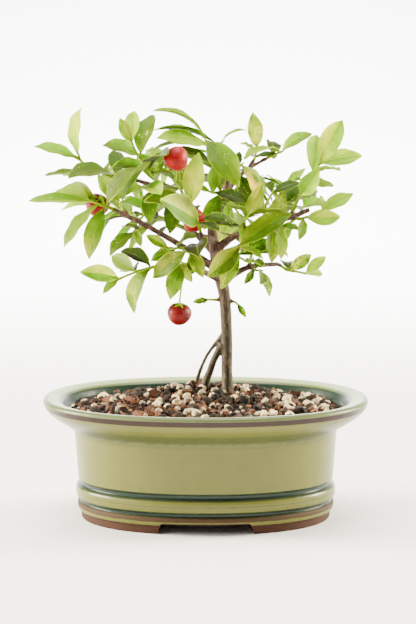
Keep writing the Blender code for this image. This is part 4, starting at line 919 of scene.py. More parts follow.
def press_to_oval(bm):
    """Presses a round turned mesh into the pot's oval."""
    power = 2 / OVAL_POWER
    for spot in bm.verts:
        radius = math.hypot(spot.co.x, spot.co.y)
        if radius < WELD * MM:
            continue
        c, s = spot.co.x / radius, spot.co.y / radius
        spot.co.x = math.copysign(abs(c) ** power, c) * radius
        spot.co.y = math.copysign(abs(s) ** power, s) * oval_depth(radius / MM) * MM


def inner_wall():
    """(half length, height, glaze, rounding) up the pot's inside, from its floor to the edge of the soil."""
    body = RIM_HALF_LENGTH - OVERHANG - WALL
    inner = RIM_HALF_LENGTH - RIM_WIDTH
    return [
        (body - 3.0, FLOOR_TOP, "bare", 0.8), (body - 1.0, FLOOR_TOP + 3, "bare", 0.8),
        (body + 0.4, COVE_BOTTOM + 1, "inner", 0.8), (inner - 2.0, SOIL_EDGE - 0.6, "inner", 0.3),
    ]


def pot_profile():
    """(half length, height, glaze, rounding) from the middle of the floor, over the rim, to the middle of the
    underside."""
    rim = RIM_HALF_LENGTH
    inner = rim - RIM_WIDTH
    body = rim - OVERHANG
    low = body - BODY_TAPER
    rim_top = [
        # The rim's flat is pale: partly its glaze, partly a painted reflection
        (inner - 0.6, RIM_TOP - 2.4, "inner", 0.4), (inner + 0.5, RIM_TOP - 1.4, "lip", 0.5),
        (inner + 2.6, RIM_TOP - 0.75, "pale", 0.8), (rim - 3.2, RIM_TOP - 0.1, "pale", 0.6),
        (rim - 1.5, RIM_TOP, "lip", 0.5), (rim - 0.3, RIM_TOP - 0.7, "lip", 0.3),
        (rim, RIM_TOP - 1.5, "lip", 0.3), (rim - 0.2, RIM_TOP - 2.0, "break", 0.15),
    ]
    # Under the rim's overhang: its darker glaze there is painted shade
    shaded_cove = [
        (rim - 0.9, RIM_TOP - 4.0, "break", 0.2), (rim - 1.4, RIM_TOP - 4.7, "body", 0.4),
        (rim - 3.0, RIM_TOP - 6.6, "body", 1.0), (rim - 5.4, COVE_BOTTOM + 7.0, "fade", 1.2),
        (rim - 9.6, COVE_BOTTOM + 4.2, "shaded_cove", 1.6), (body + 0.9, COVE_BOTTOM + 1.9, "shaded_cove", 1.2),
        (body + 0.1, COVE_BOTTOM, "fade", 1.0), (body - 0.2, COVE_BOTTOM - 2.6, "body", 0.8),
    ]
    bands = [
        (low, 19.5, "body", 0.3), (low - 0.1, 18.9, "bank", 0.2), (low - 1.1, 18.2, "pool", 0.3),
        (low - 1.1, 16.6, "pool", 0.3), (low + 0.4, 15.9, "bank", 0.3), (low + 0.95, 15.0, "body", 0.5),
        (low + 1.05, 13.7, "body", 0.3), (low + 1.0, 13.2, "line", 0.2), (low + 1.05, 12.7, "body", 0.3),
        (low + 0.9, 11.2, "body", 0.5), (low + 0.4, 10.4, "bank", 0.3), (low - 1.0, 9.7, "pool", 0.3),
        (low - 1.1, 8.4, "pool", 0.3), (low + 0.2, 7.8, "stripe", 0.2), (low + 0.3, 6.3, "stripe", 0.3),
        (low + 0.2, 5.9, "body", 0.15), (low + 0.0, 4.5, "body", 0.2), (low - 0.9, 4.1, "bare", 0.3),
        (low - 1.25, 3.5, "bare", 0.3), (low - 1.5, 0.5, "bare", 0.3), (low - 2.0, 0.0, "bare", 0.2),
    ]
    under = [
        (low - 0.8 - FOOT_WIDTH, 0.0, "bare", 0.4), (low - 1.6 - FOOT_WIDTH, RECESS_TOP, "bare", 0.8),
        (0, RECESS_TOP, "bare", 0),
    ]
    return [(0, FLOOR_TOP, "bare", 0), *inner_wall(), *rim_top, *shaded_cove, *bands, *under]


def turned(profile, steps):
    """A mesh turned from a profile, with its corners rounded, then pressed into the pot's oval."""
    bm = bmesh.new()
    glaze = bm.verts.layers.float_color.new("glaze")
    spots = []
    for radius, height, finish, _ in profile:
        spot = bm.verts.new((radius * MM, 0, height * MM))
        spot[glaze] = GLAZE[finish]
        spots.append(spot)
    for first, second in zip(spots, spots[1:]):
        bm.edges.new((first, second))
    for spot, (_, _, _, rounding) in zip(spots, profile):
        if rounding:
            bmesh.ops.bevel(
                bm, geom=[spot], offset=rounding * MM, segments=ROUNDING_STEPS, profile=0.5,
                affect="VERTICES", clamp_overlap=True, material=-1,
            )
    bmesh.ops.spin(
        bm, geom=[*bm.verts, *bm.edges], cent=(0, 0, 0), axis=UP, angle=math.tau, steps=steps, use_merge=True,
    )
    bmesh.ops.remove_doubles(bm, verts=bm.verts, dist=WELD * MM)
    bmesh.ops.recalc_face_normals(bm, faces=bm.faces)
    press_to_oval(bm)
    return bm


def cut(thing, cutters):
    """Cuts closed shapes from an object and removes them."""
    group = bpy.data.collections.new("cutters")
    for cutter in cutters:
        bpy.context.scene.collection.objects.unlink(cutter)
        group.objects.link(cutter)
    modifier = thing.modifiers.new("Cut", "BOOLEAN")
    modifier.operation = "DIFFERENCE"
    modifier.operand_type = "COLLECTION"
    modifier.collection = group
    applied(thing)
    for cutter in cutters:
        bpy.data.objects.remove(cutter)
    bpy.data.collections.remove(group)


def drain_cutters():
    """What the pot's floor and feet are cut with: two drain holes, and a notch between the feet."""
    cutters = []
    bm = bmesh.new()
    bmesh.ops.create_cube(bm, size=1.0)
    for spot in bm.verts:
        lower = spot.co.z < 0
        half = NOTCH_HALF_WIDTH + (NOTCH_SLOPE if lower else 0)
        spot.co = point((
            math.copysign(half, spot.co.x), math.copysign(RIM_HALF_DEPTH, spot.co.y),
            NOTCH_BOTTOM if lower else NOTCH_HEIGHT,
        ))
    cutters.append(object_from(bm, "notch"))
    for side in (-1, 1):
        bm = bmesh.new()
        radius = DRAIN_RADIUS * MM
        bmesh.ops.create_cone(
            bm, cap_ends=True, segments=48, radius1=radius, radius2=radius, depth=DRAIN_CUT * MM
        )
        bmesh.ops.translate(bm, verts=bm.verts, vec=point((side * DRAIN_OFFSET, 0, FLOOR_TOP)))
        cutters.append(object_from(bm, "drain"))
    return cutters


def nearness_to_wall(x, y):
    """0 at the pot's middle, 1 at its wall."""
    reach = RIM_HALF_LENGTH - RIM_WIDTH - SOIL_INSET
    across = (abs(x) / reach) ** OVAL_POWER + (abs(y) / oval_depth(reach)) ** OVAL_POWER
    return min(1.0, across ** (1 / OVAL_POWER))


def mound(x, y):
    """Height of the soil at a place, in millimetres: the solid soil's height, but settled at the wall."""
    away = math.hypot(x - MOUND_CENTRE[0], y - MOUND_CENTRE[1])
    ripple = RIPPLE_HEIGHT * math.sin(RIPPLE_WAVES[0] * x + 1.0) * math.cos(RIPPLE_WAVES[1] * y)
    settled = WALL_DIP * nearness_to_wall(x, y) ** 4
    return SOIL_EDGE + MOUND_HEIGHT * math.exp(-((away / MOUND_SPREAD) ** 2)) + ripple - settled


def soil_bed():
    """The fine soil under the grains, closed, with a crumbly top."""
    side = [(radius - GAP, height, "bare", 0) for radius, height, _, _ in reversed(inner_wall())]
    side[-1] = (side[-1][0], FLOOR_TOP + GAP, "bare", 0)
    edge = side[0][0]
    side[0] = (edge, SOIL_EDGE - WALL_DIP - BED_BEVEL, "bare", 0)
    top = [(edge * ring / BED_RINGS, SOIL_EDGE, "bare", 0) for ring in range(BED_RINGS)]
    bm = turned([*top, *side, (0, FLOOR_TOP + GAP, "bare", 0)], BED_STEPS)
    for spot in bm.verts:
        if abs(spot.co.z - SOIL_EDGE * MM) < WELD * MM:
            crumb = noise.fractal(spot.co / (BED_CRUMB * MM), *FRACTAL)
            spot.co.z = (mound(spot.co.x / MM, spot.co.y / MM) + BED_ROUGHNESS * crumb) * MM
    return object_from(bm, "soil_bed")


def clear_of_wood(x, y, radius):
    """Whether a grain here leaves room for the wood where it enters the soil."""
    wood = TRUNK[2], ROOTS["thin_prop"][3], ROOTS["thick_prop"][3]
    return all(math.hypot(x - limb[0], y - limb[1]) >= radius + limb[3] for limb in wood)


def large_grains():
    """(x, y, radius) of the larger grains, where the solid soil has them."""
    draw = random.Random(SEED)
    reach = RIM_HALF_LENGTH - RIM_WIDTH - GRAIN_INSET
    for number in range(GRAINS):
        share = math.sqrt((number + 0.5) / GRAINS)
        angle = number * GOLDEN_ANGLE
        x = reach * share * math.cos(angle) + draw.uniform(-GRAIN_SHIFT, GRAIN_SHIFT)
        y = oval_depth(reach) * share * math.sin(angle) + draw.uniform(-GRAIN_SHIFT, GRAIN_SHIFT)
        radius = draw.uniform(*GRAIN_RADIUS)
        if clear_of_wood(x, y, radius):
            yield x, y, radius


def small_grains(count):
    """(x, y, radius) of the small grains, packed over the soil by the golden angle."""
    draw = random.Random(SEED + 7)
    reach = RIM_HALF_LENGTH - RIM_WIDTH - SMALL_INSET
    power = 2 / OVAL_POWER
    for number in range(count):
        share = math.sqrt((number + 0.5) / count)
        angle = number * GOLDEN_ANGLE
        c, s = math.cos(angle), math.sin(angle)
        x = reach * share * math.copysign(abs(c) ** power, c) + draw.gauss(0, SMALL_SCATTER)
        y = oval_depth(reach) * share * math.copysign(abs(s) ** power, s) + draw.gauss(0, SMALL_SCATTER)
        radius = SMALL_RADIUS[0] + (SMALL_RADIUS[1] - SMALL_RADIUS[0]) * draw.random() ** SMALL_BIAS
        if clear_of_wood(x, y, radius):
            yield x, y, radius


def add_grain(bm, shade_layer, kind, place, radius, draw):
    """One grain: a round lump for perlite and peat, a split slab for bark."""
    turn = Matrix.Rotation(draw.uniform(0, math.tau), 4, Vector([draw.uniform(-1, 1) for _ in range(3)]))
    if kind == "bark_chips":
        stretch = (CHIP_LENGTH, draw.uniform(*CHIP_WIDTH), draw.uniform(*CHIP_HEIGHT), 1.0)
        pose = Matrix.Translation(place) @ turn @ Matrix.Diagonal(stretch)
        fresh = bmesh.ops.create_cube(bm, size=radius * CHIP_FULLNESS * MM, matrix=pose)["verts"]
    else:
        stretch = (*(draw.uniform(*LUMP_STRETCH) for _ in range(3)), 1.0)
        pose = Matrix.Translation(place) @ turn @ Matrix.Diagonal(stretch)
        fine = 2 if radius > LARGE_FROM else 1
        fresh = bmesh.ops.create_icosphere(bm, subdivisions=fine, radius=radius * MM, matrix=pose)["verts"]
    shade = draw.uniform(0, DARKEST_GRAIN)
    for spot in fresh:
        jolt = Vector([draw.uniform(-1, 1) for _ in range(3)])
        spot.co += jolt * radius * GRAIN_JOLT * MM
        spot[shade_layer] = shade


def limb_route(rows, per_span):
    """A limb's smooth centreline, and its radius at each point in metres."""
    route = smooth_route([point(row) for row in rows], per_span)
    radii = []
    for first, second in zip(rows, rows[1:]):
        for step in range(per_span):
            radii.append((first[3] + (second[3] - first[3]) * step / per_span) * MM)
    return route, [*radii, rows[-1][3] * MM]


def perch(spray):
    """Where a spray springs from: the point on the wood, the spur's length from it, and its direction."""
    wood, index = spray.on
    rows = TRUNK if wood == "trunk" else BOUGHS[wood]
    start = point(rows[index])
    direction = (point(spray.route[0]) - start).normalized()
    reach = rows[index][3] + SPUR_LENGTH
    if index < len(rows) - 1:
        grain = (point(rows[index + 1]) - point(rows[index - 1])).normalized()
        clear = rows[index][3] + STEM_RADIUS[0] + 2 * GAP
        reach = max(reach, clear / direction.cross(grain).length)
    return start, reach * MM, direction


def grow_wood(voxel):
    """Trunk, boughs, roots and spurs, melted into one skin, and the routes that they follow."""
    bm = bmesh.new()
    routes = [limb_route(rows, LIMB_STEPS) for rows in (TRUNK, *BOUGHS.values(), *ROOTS.values())]
    for spray in SPRAYS:
        start, reach, direction = perch(spray)
        route = [start.lerp(start + direction * reach, step / SPUR_STEPS) for step in range(SPUR_STEPS + 1)]
        routes.append((route, [SPUR_RADIUS[0] * MM] * SPUR_STEPS + [SPUR_RADIUS[1] * MM]))
    for route, radii in routes:
        grow_tube(bm, route, radii, LIMB_SIDES)
    wood = object_from(bm, "trunk_and_boughs")
    remesh = wood.modifiers.new("Melt", "REMESH")
    remesh.mode = "VOXEL"
    remesh.voxel_size = voxel
    applied(wood)
    return wood, routes


def roughen_bark(wood, routes, relief):
    """Smooths the melted skin, then raises ridges that run along each limb."""
    tree = KDTree(sum(len(route) for route, _ in routes))
    headings = []
    for route, _ in routes:
        for number, place in enumerate(route):
            tree.insert(place, len(headings))
            ahead = route[min(number + 1, len(route) - 1)] - route[max(number - 1, 0)]
            headings.append(ahead.normalized())
    tree.balance()
    bm = bmesh.new()
    bm.from_mesh(wood.data)
    for _ in range(SMOOTHINGS):
        bmesh.ops.smooth_vert(
            bm, verts=bm.verts, factor=0.5, use_axis_x=True, use_axis_y=True, use_axis_z=True
        )
    bm.normal_update()
    for spot in bm.verts:
        _, index, _ = tree.find(spot.co)
        heading = headings[index]
        lengthways = heading * spot.co.dot(heading)
        grain = (spot.co - lengthways * (1 - 1 / RIDGE_STRETCH)) / (RIDGE_WIDTH * MM)
        ridge = 1 - 2 * abs(noise.fractal(grain, *FRACTAL))
        spot.co += spot.normal * ridge * relief * 0.5
    bm.to_mesh(wood.data)
    bm.free()


def stem_route(spray):
    """The stem's centreline, from just past its spur to its tip."""
    start, reach, direction = perch(spray)
    return [start + direction * (reach + GAP * MM), *(point(spot) for spot in spray.route)]


def along(route, share):
    """The point and direction at a share of a route's length."""
    lengths = [(b - a).length for a, b in zip(route, route[1:])]
    left = share * sum(lengths)
    for a, b, length in zip(route, route[1:], lengths):
        if left <= length:
            break
        left -= length
    return a.lerp(b, min(1.0, left / length)), (b - a).normalized()


def planned_leaves(number, spray):
    """Each leaf of a spray before anything is in its way, by the same rule and draws as the solid ones."""
    route = stem_route(spray)
    draw = random.Random(SEED * 100 + number)
    for back in range(spray.pairs):
        age = back / max(1, spray.pairs - 1)
        share = YOUNGEST_AT - (YOUNGEST_AT - OLDEST_AT) * age
        base, stem = along(route, share)
        for side in (0,) if spray.single else (0, 1):
            sway = draw.uniform(-ROLL_SWAY, ROLL_SWAY)
            roll = math.radians(spray.roll + 90 * back + 180 * side + sway)
            sway = draw.uniform(-SPREAD_SWAY, SPREAD_SWAY)
            spread = math.radians(spray.spread + OLD_SPREAD * age + sway)
            sag = spray.sag + OLD_SAG * age + draw.uniform(-SAG_SWAY, SAG_SWAY)
            length = spray.leaf * draw.uniform(*LENGTH_RANGE) * (1.0 if age else YOUNG_SIZE)
            width = WIDTH_PER_LENGTH * draw.uniform(*WIDTH_RANGE)
            tilt = math.radians(draw.uniform(-TILT_SWAY, TILT_SWAY))
            fold = math.radians(draw.uniform(*FOLD_RANGE))
            arch = draw.uniform(*ARCH_RANGE)
            turn = 2 * back + side
            tip = spray.tips[turn] if turn < len(spray.tips) else None
            if tip:
                chord = point(tip) - base
            else:
                chord = ruled_direction(stem, roll, spread, sag) * length * MM
            outward = (base - point(CROWN_CENTRE)).normalized()
            facing = LIGHT_FROM + outward * OUTWARD_PULL
            if tip and len(tip) > 3:
                turned_up = math.radians(tip[3])
                facing = FRONT * math.cos(turned_up) + (UP + outward) * math.sin(turned_up)
                tilt = 0.0
            if tip and len(tip) > 4:
                arch = tip[4]
            yield PlannedLeaf(tip, age, base, chord, facing, tilt, width, fold, arch)


def ruled_direction(stem, roll, spread, sag):
    """The way a leaf points when it leaves its stem at a roll and spread, and sags."""
    side = stem.cross(UP)
    side = side.normalized() if side.length > 0.1 else Vector((1, 0, 0))
    over = side.cross(stem).normalized()
    radial = side * math.cos(roll) + over * math.sin(roll)
    return (stem * math.cos(spread) + radial * math.sin(spread) - UP * sag).normalized()


def blade_pose(base, chord, facing, tilt, arch):
    """The matrix that sets a blade on its stem so that its tip lies along chord."""
    ahead = chord.normalized()
    facing = facing - ahead * facing.dot(ahead)
    if facing.length < STEEPEST_FACING:
        facing = FRONT - ahead * FRONT.dot(ahead)
    facing = Matrix.Rotation(tilt, 3, ahead) @ facing.normalized()
    half = arch / 2
    forward = ahead * math.cos(half) + facing * math.sin(half)
    face = facing * math.cos(half) - ahead * math.sin(half)
    return Matrix.Translation(base) @ Matrix((forward, face.cross(forward), face)).transposed().to_4x4()


def detours():
    """(cost, swing, lift, push, size) changes that kept the solid leaves apart, the least change first."""
    options = []
    for size in DETOUR_SIZES:
        for swing in DETOUR_SWINGS:
            for lift in DETOUR_LIFTS:
                for push in DETOUR_PUSHES:
                    cost = abs(swing) + abs(lift) + abs(push) + (1 - size) * SHRINK_COST
                    options.append((cost, math.radians(swing), math.radians(lift), push, size))
    return sorted(options)


def detoured(chord, facing, option):
    """A leaf's chord with one of the detours."""
    _, swing, lift, push, size = option
    across = chord.cross(facing).normalized()
    swung = Matrix.Rotation(lift, 3, across) @ Matrix.Rotation(swing, 3, facing.normalized()) @ chord
    return swung * size + point((0, push, 0))


def blade_shape(chord, width, fold, arch):
    """(length, width, fold, arch) of a blade whose two ends are a chord apart."""
    length = chord.length / MM * (arch / 2) / math.sin(arch / 2)
    return length, length * width, fold, arch


def blade_point(shape, share, across, rise):
    """A point of an arched blade, share along it. across and rise are from its midrib, in millimetres."""
    length, _, _, arch = shape
    bend = arch * share
    reach = length * share
    x = reach * math.sin(bend) / bend if bend else 0.0
    drop = reach * (1 - math.cos(bend)) / bend if bend else 0.0
    return Vector((x + rise * math.sin(bend), across, rise * math.cos(bend) - drop)) * MM


def stands_here(tree, pose, shape):
    """Whether the solid leafy stem, whose points are in tree, has a leaf with this pose and shape."""
    _, width, fold, _ = shape
    for share, fullness in reversed(LEAF_ROWS[1:]):
        half = width / 2 * fullness
        for side in (1, -1) if fullness else (0,):
            spot = blade_point(shape, share, side * half * math.cos(fold), half * math.sin(fold))
            distance = tree.find(pose @ spot)[2]
            if abs(distance - BLADE_THICKNESS * MM / 2) > MATCH * MM:
                return False
    return True


def find_leaves(number, spray):
    """(tip, age, pose, shape) of each leaf that the solid stem has."""
    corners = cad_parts[spray.name].data.vertices
    tree = KDTree(len(corners))
    for corner in corners:
        tree.insert(corner.co, corner.index)
    tree.balance()
    found = []
    options = detours()
    for leaf in planned_leaves(number, spray):
        for option in options:
            chord = detoured(leaf.chord, leaf.facing, option)
            shape = blade_shape(chord, leaf.width, leaf.fold, leaf.arch)
            pose = blade_pose(leaf.base, chord, leaf.facing, leaf.tilt, leaf.arch)
            if stands_here(tree, pose, shape):
                found.append((leaf.tip, leaf.age, pose, shape))
                break
    if not found:
        raise RuntimeError(spray.name + " has no leaves")
    return found


def leaf_half_width(share):
    """How wide a leaf is at a share of its length: a narrow foot, a full middle and a pointed tip."""
    grown = max(0.0, (share - PETIOLE_END) / (1 - PETIOLE_END))
    return max(NARROWEST, math.sin(math.pi * grown**BLADE_SKEW) ** BLADE_FULLNESS)


def add_leaf(bm, layers, leaf, pose, shape, youth_and_shade, stain, draw):
    """One leaf blade: a grid given its outline, fold, arch and waved edge, then thickened."""
    _, width, fold, _ = shape
    wave = leaf.wave / MM * draw.uniform(*WAVE_RANGE)
    sheet = bmesh.ops.create_grid(bm, x_segments=LEAF_CELLS[0], y_segments=LEAF_CELLS[1], size=1.0)["verts"]
    phases = [draw.uniform(0, math.tau) for _ in range(2)]
    lean = draw.uniform(-BLADE_LEAN, BLADE_LEAN)
    places = {}
    for spot in sheet:
        even = (spot.co.x + 1) / 2
        share = BLADE_FROM + (1 - BLADE_FROM) * (even + (1 - math.cos(math.pi * even)) / 2) / 2
        side = spot.co.y
        half = width / 2 * leaf_half_width(share)
        cup = abs(side) * (1 - CUP) + side * side * CUP
        ripple = math.sin(share * WAVES + phases[side > 0]) * wave * side * side
        rise = half * cup * math.sin(fold) + ripple * min(1.0, half)
        bow = lean * math.sin(math.pi * share)
        places[spot] = (share, side)
        spot.co = pose @ blade_point(shape, share, side * half * math.cos(fold) + bow, rise)
        spot[layers["youth_and_shade"]] = youth_and_shade
        spot[layers["stain"]] = stain
    faces = list(dict.fromkeys(face for spot in sheet for face in spot.link_faces))
    for face in faces:
        for corner in face.loops:
            share, side = places[corner.vert]
            corner[layers["blade"]].uv = (share, side / 2 + 0.5)
    for part in bmesh.ops.solidify(bm, geom=faces, thickness=-leaf.thickness)["geom"]:
        if isinstance(part, bmesh.types.BMFace):
            part.material_index = LOWER_SKIN


def add_petiole(bm, layers, twig, pose, shape, youth_and_shade):
    """A leaf's stalk, from the middle of its twig to under the foot of its blade."""
    foot = pose.translation
    root = min(twig, key=lambda spot: (spot - foot).length)
    reach = [pose @ blade_point(shape, share, 0, -PETIOLE_DROP) for share in PETIOLE_PLACES]
    radii = [radius * MM for radius in PETIOLE_RADII]
    youth_and_shade_rings = [youth_and_shade] * len(radii)
    for face in grow_tube(bm, [root, *reach], radii, PETIOLE_SIDES, layers["youth_and_shade"], youth_and_shade_rings):
        face.material_index = LOWER_SKIN


def fruit_axis(name, fruit, routes):
    """Where a fruit's stalk leaves its stem, and the direction from the fruit's middle to its stalk."""
    root, _ = along(routes[fruit["on"]], fruit["at"])
    upward = (root - point(fruit["centre"])).normalized() + UP * STALK_RISE
    return root, (upward.normalized() + FRONT * FRUIT_LOOKS[name][1]).normalized()


def fruit_skin(name, radius, height, around):
    """Where a fruit's skin is, with its middle at 0 and its stalk up: (distance from the axis, height).
    The height that goes in runs from -1 to 1."""
    dimple = STALK_DIMPLE * math.exp((height - 1) / STALK_DIMPLE_FADE)
    scar = SCAR_DIMPLE * math.exp((-1 - height) / SCAR_FADE)
    lobe = math.cos(LOBES * around)
    wide = (1 + LOBE_DEPTH * lobe * (1 - height**2)) * (1 + SHOULDER * height) * FRUIT_SIZE
    tall = (FRUIT_LOOKS[name][0] * height - dimple + scar) * FRUIT_SIZE
    return radius * math.sqrt(max(0.0, 1 - height**2)) * wide, radius * tall


def add_stalk(bm, layers, name, fruit, routes, twig):
    """A fruit's stalk, and its calyx: a star of five sepals that lies on the fruit's shoulder."""
    root, axis = fruit_axis(name, fruit, routes)
    root = min(twig, key=lambda spot: (spot - root).length)
    middle = point(fruit["centre"])
    seat = middle + axis * (fruit_skin(name, fruit["radius"], STALK_SEAT, 0)[1] + SEPAL_LIFT) * MM
    knee = seat + axis * STALK_NECK * MM
    bends = [root, root.lerp(knee, 0.6), knee, seat - axis * STALK_SUNK * MM]
    route = smooth_route(bends, FRUIT_STALK_STEPS)
    radii = [FRUIT_STALK_RADIUS * MM] * len(route)
    youth_and_shade_rings = [FRUIT_STALK_YOUTH] * len(route)
    for face in grow_tube(bm, route, radii, FRUIT_STALK_SIDES, layers["youth_and_shade"], youth_and_shade_rings):
        face.material_index = TWIG_SKIN
    pose = Matrix.Translation(middle) @ axis.to_track_quat("Z", "Y").to_matrix().to_4x4()
    star = bmesh.ops.create_uvsphere(bm, u_segments=CALYX_CELLS[0], v_segments=CALYX_CELLS[1], radius=1.0)
    for spot in star["verts"]:
        around = math.atan2(spot.co.y, spot.co.x)
        share = math.acos(min(1.0, abs(spot.co.z))) / (math.pi / 2)
        outer = SEPAL_GAP + (SEPAL_REACH - SEPAL_GAP) * max(0.0, math.cos(SEPALS * around))
        away = outer * share
        height = math.sqrt(1 - (away / (fruit["radius"] * FRUIT_SIZE * (1 + SHOULDER))) ** 2)
        rise = fruit_skin(name, fruit["radius"], height, around)[1]
        if spot.co.z > -0.01:
            rise += SEPAL_LIFT + CALYX_BOSS * (1 - share) ** 2
        spot.co = pose @ point((math.cos(around) * away, math.sin(around) * away, rise))
        spot[layers["youth_and_shade"]] = CALYX_YOUTH
        for face in spot.link_faces:
            face.material_index = TWIG_SKIN


def leaf_youth_and_shade(age, pose, draw):
    """How young a leaf looks, from 0 to 1: the youngest are at the stem tips. Painted light and shade:
    a leaf high and far out in the crown is painted lighter, one deep inside darker.
    """
    away = (pose.translation - point(CROWN_CENTRE)) / MM
    outer = min(1.0, math.hypot(away.x, away.y) / CROWN_REACH)
    higher = max(-1.0, min(1.0, away.z / CROWN_HEIGHT))
    youth_and_shade = YOUTH_BASE + YOUTH_BY_AGE * age + PAINTED_LIGHT_BY_REACH * outer + PAINTED_LIGHT_BY_HEIGHT * higher
    return youth_and_shade + draw.uniform(-YOUTH_SWAY, YOUTH_SWAY)


def grow_sprig(number, spray, leaf, routes, materials):
    """A leafy stem as one piece: twig, buds, leaves with their stalks, and the stalks of its fruit."""
    draw = random.Random(SEED * 1000 + number)
    bm = bmesh.new()
    layers = {
        "youth_and_shade": bm.verts.layers.float.new("youth_and_shade"),
        "stain": bm.verts.layers.float.new("stain"),
        "blade": bm.loops.layers.uv.new("blade"),
    }
    route = routes[spray.name]
    first = route[0] + (route[0] - route[1]).normalized() * TWIG_OVERLAP * MM
    twig = smooth_route([first, *route[1:]], TWIG_STEPS)
    thick, thin = STEM_RADIUS
    radii = []
    ages = []
    for step in range(len(twig)):
        share = step / (len(twig) - 1)
        nodes = sum(math.exp(-(((share - at) * NODE_SHARPNESS) ** 2)) for at in node_shares(spray))
        radii.append((thick + (thin - thick) * share + NODE_SWELL * nodes) * MM)
        age = TWIG_AGES[0] + (TWIG_AGES[1] - TWIG_AGES[0]) * share
        ages.append(age + draw.uniform(-TWIG_AGE_SWAY, TWIG_AGE_SWAY))
    ahead = (twig[-1] - twig[-2]).normalized()
    bud = [twig[-1] + ahead * reach * MM for reach, _ in BUD]
    swelling = [radius * MM for _, radius in BUD]
    youth_and_shade_rings = [BUD_YOUTH] * len(BUD)
    wood = grow_tube(bm, twig, radii, TWIG_SIDES, layers["youth_and_shade"], ages)
    for face in (*wood, *grow_tube(bm, bud, swelling, BUD_SIDES, layers["youth_and_shade"], youth_and_shade_rings)):
        face.material_index = TWIG_SKIN
    for tip, age, pose, shape in find_leaves(number, spray):
        # The leaf's youth with painted light and shade: a listed tone for the leaves that show most, else the
        # rule
        youth_and_shade = LEAF_TONES_AND_LIGHT.get(tip[:3] if tip else None, leaf_youth_and_shade(age, pose, draw))
        stain = 1.0 if tip in STAINED_LEAVES else 0.0
        add_leaf(bm, layers, leaf, pose, shape, youth_and_shade, stain, draw)
        add_petiole(bm, layers, twig, pose, shape, youth_and_shade)
    for name, fruit in FRUITS.items():
        if fruit["on"] == spray.name:
            add_stalk(bm, layers, name, fruit, routes, twig)
    sprig = object_from(bm, spray.name.replace("leafy_stem_", "sprig_"))
    return place_piece(sprig, [spray.name], materials, sharp=75)


def node_shares(spray):
    """The shares of a stem's length where its leaf pairs stand."""
    for back in range(spray.pairs):
        yield YOUNGEST_AT - (YOUNGEST_AT - OLDEST_AT) * back / max(1, spray.pairs - 1)


class BONSAI_OT_pot(Operator):
    """Throws and glazes the pot, and cuts its drain holes and feet"""

    bl_idname = "bonsai.pot"
    bl_label = "Pot"

    def execute(self, context):
        settings = context.scene.bonsai_pot
        pot = object_from(turned(pot_profile(), settings.steps), "glazed_pot")
        cut(pot, drain_cutters())
        place_piece(pot, ["pot"], [make_glaze(settings)], sharp=55)
        return {"FINISHED"}


class BONSAI_OT_soil(Operator):
    """Fills the pot with its gritty soil, grain by grain on top"""

    bl_idname = "bonsai.soil"
    bl_label = "Soil"

    def execute(self, context):
        settings = context.scene.bonsai_soil
        skins = {}
        for kind, (name, colour, pit, roughness, lump) in GRAINS_BY_KIND.items():
            colours = getattr(settings, colour), getattr(settings, pit)
            skins[kind] = make_grain_skin(name, *colours, roughness, lump)
        place_piece(soil_bed(), ["soil"], [skins["peat_crumbs"]])
        draw = random.Random(SEED + 3)
        meshes = {kind: bmesh.new() for kind in skins}
        shades = {kind: bm.verts.layers.float.new("shade") for kind, bm in meshes.items()}
        green = min(large_grains(), key=lambda grain: math.dist(grain[:2], GREEN_AT))
        for x, y, radius in (*large_grains(), *small_grains(settings.small_grains)):
            shares = LARGE_SHARES if radius > LARGE_FROM else SMALL_SHARES
            kind = draw.choices(LOOSE_KINDS, shares)[0]
            kind = "green_grain" if (x, y, radius) == green else kind
            risen = draw.uniform(*GRAIN_RISE) - WALL_SINK * nearness_to_wall(x, y) ** 6
            place = point((x, y, mound(x, y) + radius * risen))
            add_grain(meshes[kind], shades[kind], kind, place, radius, draw)
        for kind, bm in meshes.items():
            place_piece(object_from(bm, kind), [], [skins[kind]], sharp=35)
        return {"FINISHED"}


class BONSAI_OT_screens(Operator):
    """Gives the two drain screens their plastic"""

    bl_idname = "bonsai.screens"
    bl_label = "Drain screens"

    def execute(self, context):
        material = make_net_plastic(context.scene.bonsai_net)
        for name in ("drain_screen_left", "drain_screen_right"):
            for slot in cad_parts[name].material_slots:
                slot.material = material
        return {"FINISHED"}


class BONSAI_OT_wood(Operator):
    """Grows the trunk, boughs and roots as one piece of wood"""

    bl_idname = "bonsai.wood"
    bl_label = "Trunk and boughs"

    def execute(self, context):
        settings = context.scene.bonsai_wood
        wood, routes = grow_wood(settings.voxel)
        roughen_bark(wood, routes, settings.relief)
        place_piece(wood, ["trunk"], [make_bark(settings)], sharp=180)
        return {"FINISHED"}


class BONSAI_OT_sprigs(Operator):
    """Grows the leafy stems, each with its twig, opposite leaves and fruit stalks"""

    bl_idname = "bonsai.sprigs"
    bl_label = "Leafy stems"

    def execute(self, context):
        leaf = context.scene.bonsai_leaf
        materials = [
            make_leaf_skin(leaf, "waxy_leaf_upper_skin", True),
            make_leaf_skin(leaf, "matt_leaf_lower_skin", False),
            make_twig_skin(leaf),
        ]
        routes = {spray.name: stem_route(spray) for spray in SPRAYS}
        for number, spray in enumerate(SPRAYS):
            grow_sprig(number, spray, leaf, routes, materials)
        return {"FINISHED"}


